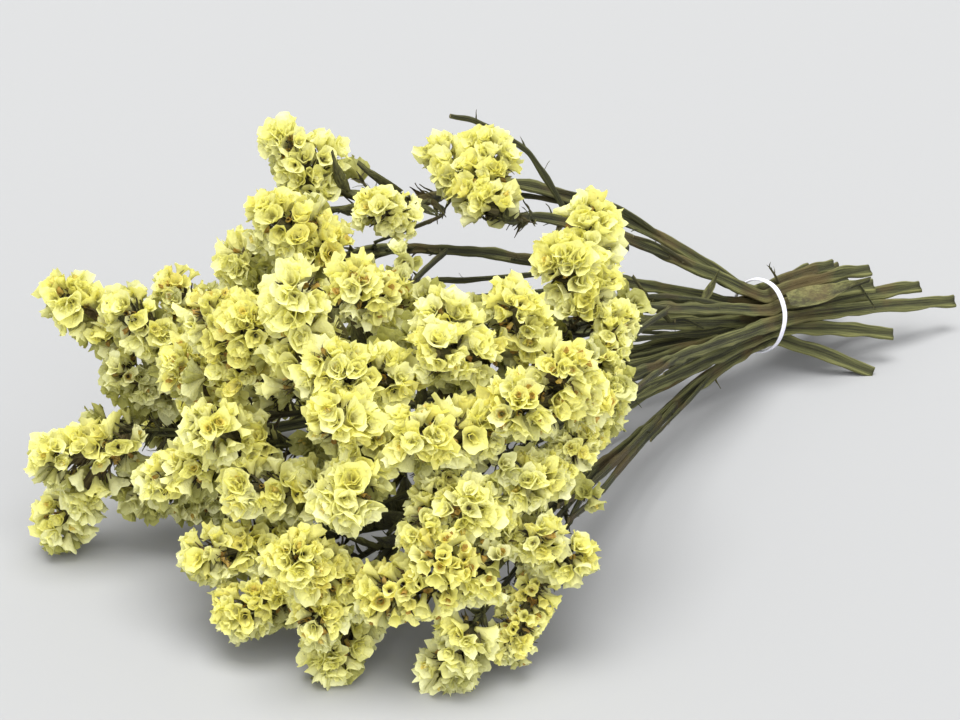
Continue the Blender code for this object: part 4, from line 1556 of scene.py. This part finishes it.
@dataclass(frozen=True)
class ElasticFinish:
    """White elastic with a faint lilac cast and fine ribs along it.

    Args:
        white: its colour.
        shade: colour of its furrows, a painted shade.
        ribs: how closely the ribs lie.
        knit: how closely the knit lies round the loop.
        blotch_scale, blotch_amount: of the blotches in its sheen.
        relief: depth of the furrows, in metres.
    """

    white: Colour = (0.80, 0.80, 0.88)
    shade: Colour = (0.56, 0.56, 0.68)
    ribs: float = 18.0
    knit: float = 1400.0
    blotch_scale: float = 200.0
    blotch_amount: float = 0.2
    relief: float = 0.2 * MM

    def material(self, blotches: bpy.types.NodeTree) -> bpy.types.Material:
        """Returns the material."""
        material, nodes = Nodes.of_material("white elastic")
        across, around, _ = nodes.traits()
        ribs = nodes.calc("SINE", nodes.product(across, self.ribs))
        knit = nodes.calc("SINE", nodes.product(around, self.knit))
        relief = nodes.calc("ADD", nodes.product(ribs, 0.6), nodes.product(knit, 0.4))
        # Painted shade: darker in the furrows of the ribs and knit, lighter on their crests.
        furrow_shading = nodes.add("MapRange", {0: relief, 1: -1.0, 2: 0.4}).outputs[0]
        colour = nodes.ramp(furrow_shading, [(0, self.shade), (1, self.white)])
        rough = nodes.calc("ADD", 0.6, nodes.blotches(blotches, nodes.place(), self))
        shader = nodes.surface(colour, rough, nodes.bump(relief, 0.5, self.relief), 0.5)
        nodes.add("OutputMaterial", {0: shader})
        return material


@dataclass(frozen=True)
class Studio:
    """Pale floor, soft light and the camera at the photograph's angle.

    Args:
        azimuth: the way that the camera looks, in radians; 0 is along +Y.
        elevation: how far it looks down, in radians.
        eye: its place from the band's foot, in metres.
        lens: its focal length, in mm.
        sky: colour of the light from all round.
        sky_strength: its strength.
        ground: colour of the floor.
    """

    azimuth: float = math.radians(-42)
    elevation: float = math.radians(22)
    eye: Vector = Vector((-832.4, -697.3, 442.8)) * MM
    lens: float = 80.0
    sky: Colour = (0.97, 0.965, 0.94)
    sky_strength: float = 0.64
    ground: Colour = (0.311, 0.316, 0.325)

    def build(self, shift: Vector) -> None:
        """Builds the floor, the lights and the camera.

        Args:
            shift: from the band to the frame's origin.
        """
        self.floor()
        self.light("key", (-0.1, -0.05, 1.0), 45, 4.0, (1.0, 0.99, 0.97))
        self.light("fill", (-0.6, -1.0, 0.5), 80, 3.7, (0.99, 0.99, 1.0))
        world = bpy.data.worlds.new("studio")
        bpy.context.scene.world = world
        world.use_nodes = True
        background = world.node_tree.nodes["Background"]
        background.inputs["Color"].default_value = (*self.sky, 1)
        background.inputs["Strength"].default_value = self.sky_strength
        camera = linked("camera", bpy.data.cameras.new("camera"))
        camera.data.lens = self.lens
        camera.location = self.eye + shift
        camera.rotation_euler = (math.pi / 2 - self.elevation, 0, self.azimuth)
        bpy.context.scene.camera = camera
        bpy.context.scene.view_settings.view_transform = "Standard"

    def floor(self) -> None:
        """Builds the pale floor."""
        work = bmesh.new()
        bmesh.ops.create_grid(work, x_segments=1, y_segments=1, size=4)
        material = bpy.data.materials.new("pale floor")
        material.use_nodes = True
        shader = material.node_tree.nodes["Principled BSDF"]
        shader.inputs["Base Color"].default_value = (*self.ground, 1)
        shader.inputs["Roughness"].default_value = 0.9
        floor = as_piece(as_mesh(work, "floor"), material)

    @staticmethod
    def light(name: str, source: tuple, spread: float, strength: float, colour: Colour) -> None:
        """Builds a soft light that is the same all over the floor.

        Args:
            name: the light's name.
            source: the direction that it comes from.
            spread: the angle that it fills, in degrees.
            strength: its strength, in watts a square metre.
            colour: its colour.
        """
        lamp = bpy.data.lights.new(name, "SUN")
        lamp.angle = math.radians(spread)
        lamp.energy = strength
        lamp.color = colour
        holder = linked(name, lamp)
        holder.rotation_euler = Vector(source).to_track_quat("Z", "Y").to_euler()


def main() -> None:
    """Dresses the bunch."""
    logging.basicConfig(level=logging.INFO, format="%(message)s")
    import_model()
    noise.seed_set(SEED)
    for leftover in [obj for obj in bpy.data.objects if obj.name in ("Cube", "Light", "Camera")]:
        bpy.data.objects.remove(leftover)
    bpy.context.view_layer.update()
    low, high = (Vector(corner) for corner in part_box("band"))
    shift = Vector(((low.x + high.x) / 2, (low.y + high.y) / 2, 0))

    blotches = blotch_group()
    paper = PaperFinish().material(blotches)
    stalk = STALK_FINISH.material(blotches)
    bract = BRACT_FINISH.material(blotches)
    elastic = ElasticFinish().material(blotches)

    stock = Stock.grown()
    for stem in STEMS:
        grown = Stalk(stem, stock)
        grown.grow()
        piece = grown.gathering.finished("stalk_" + stem.name, stalk, shift)
        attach(piece, "root")
        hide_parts("stem_" + stem.name)
        LOG.info("%s: %d faces", piece.name, len(piece.data.polygons))
        for head in stem.heads:
            flower = FlowerHead(head, stock, grown.routes[head.name])
            flower.grow()
            calyces = flower.paper.finished("calyces_" + head.name, paper, shift)
            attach(calyces, "root")
            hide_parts("head_" + head.name)
            scales = flower.green.finished("bracts_" + head.name, bract, shift)
            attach(scales, "root")
            LOG.info("%s: %d faces", calyces.name, len(calyces.data.polygons))
    band = ElasticBand().piece(elastic)
    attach(band, "root")
    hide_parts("band")
    Studio().build(shift)
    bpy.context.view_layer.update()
    dressed = [obj for obj in bpy.data.objects if obj.type == "MESH" and obj.name != "floor"]
    counts = {obj.name: sum(len(face.vertices) - 2 for face in obj.data.polygons) for obj in dressed}
    LOG.info("%d triangles in all, at most %d in a piece", sum(counts.values()), max(counts.values()))


if __name__ == "__main__":
    main()
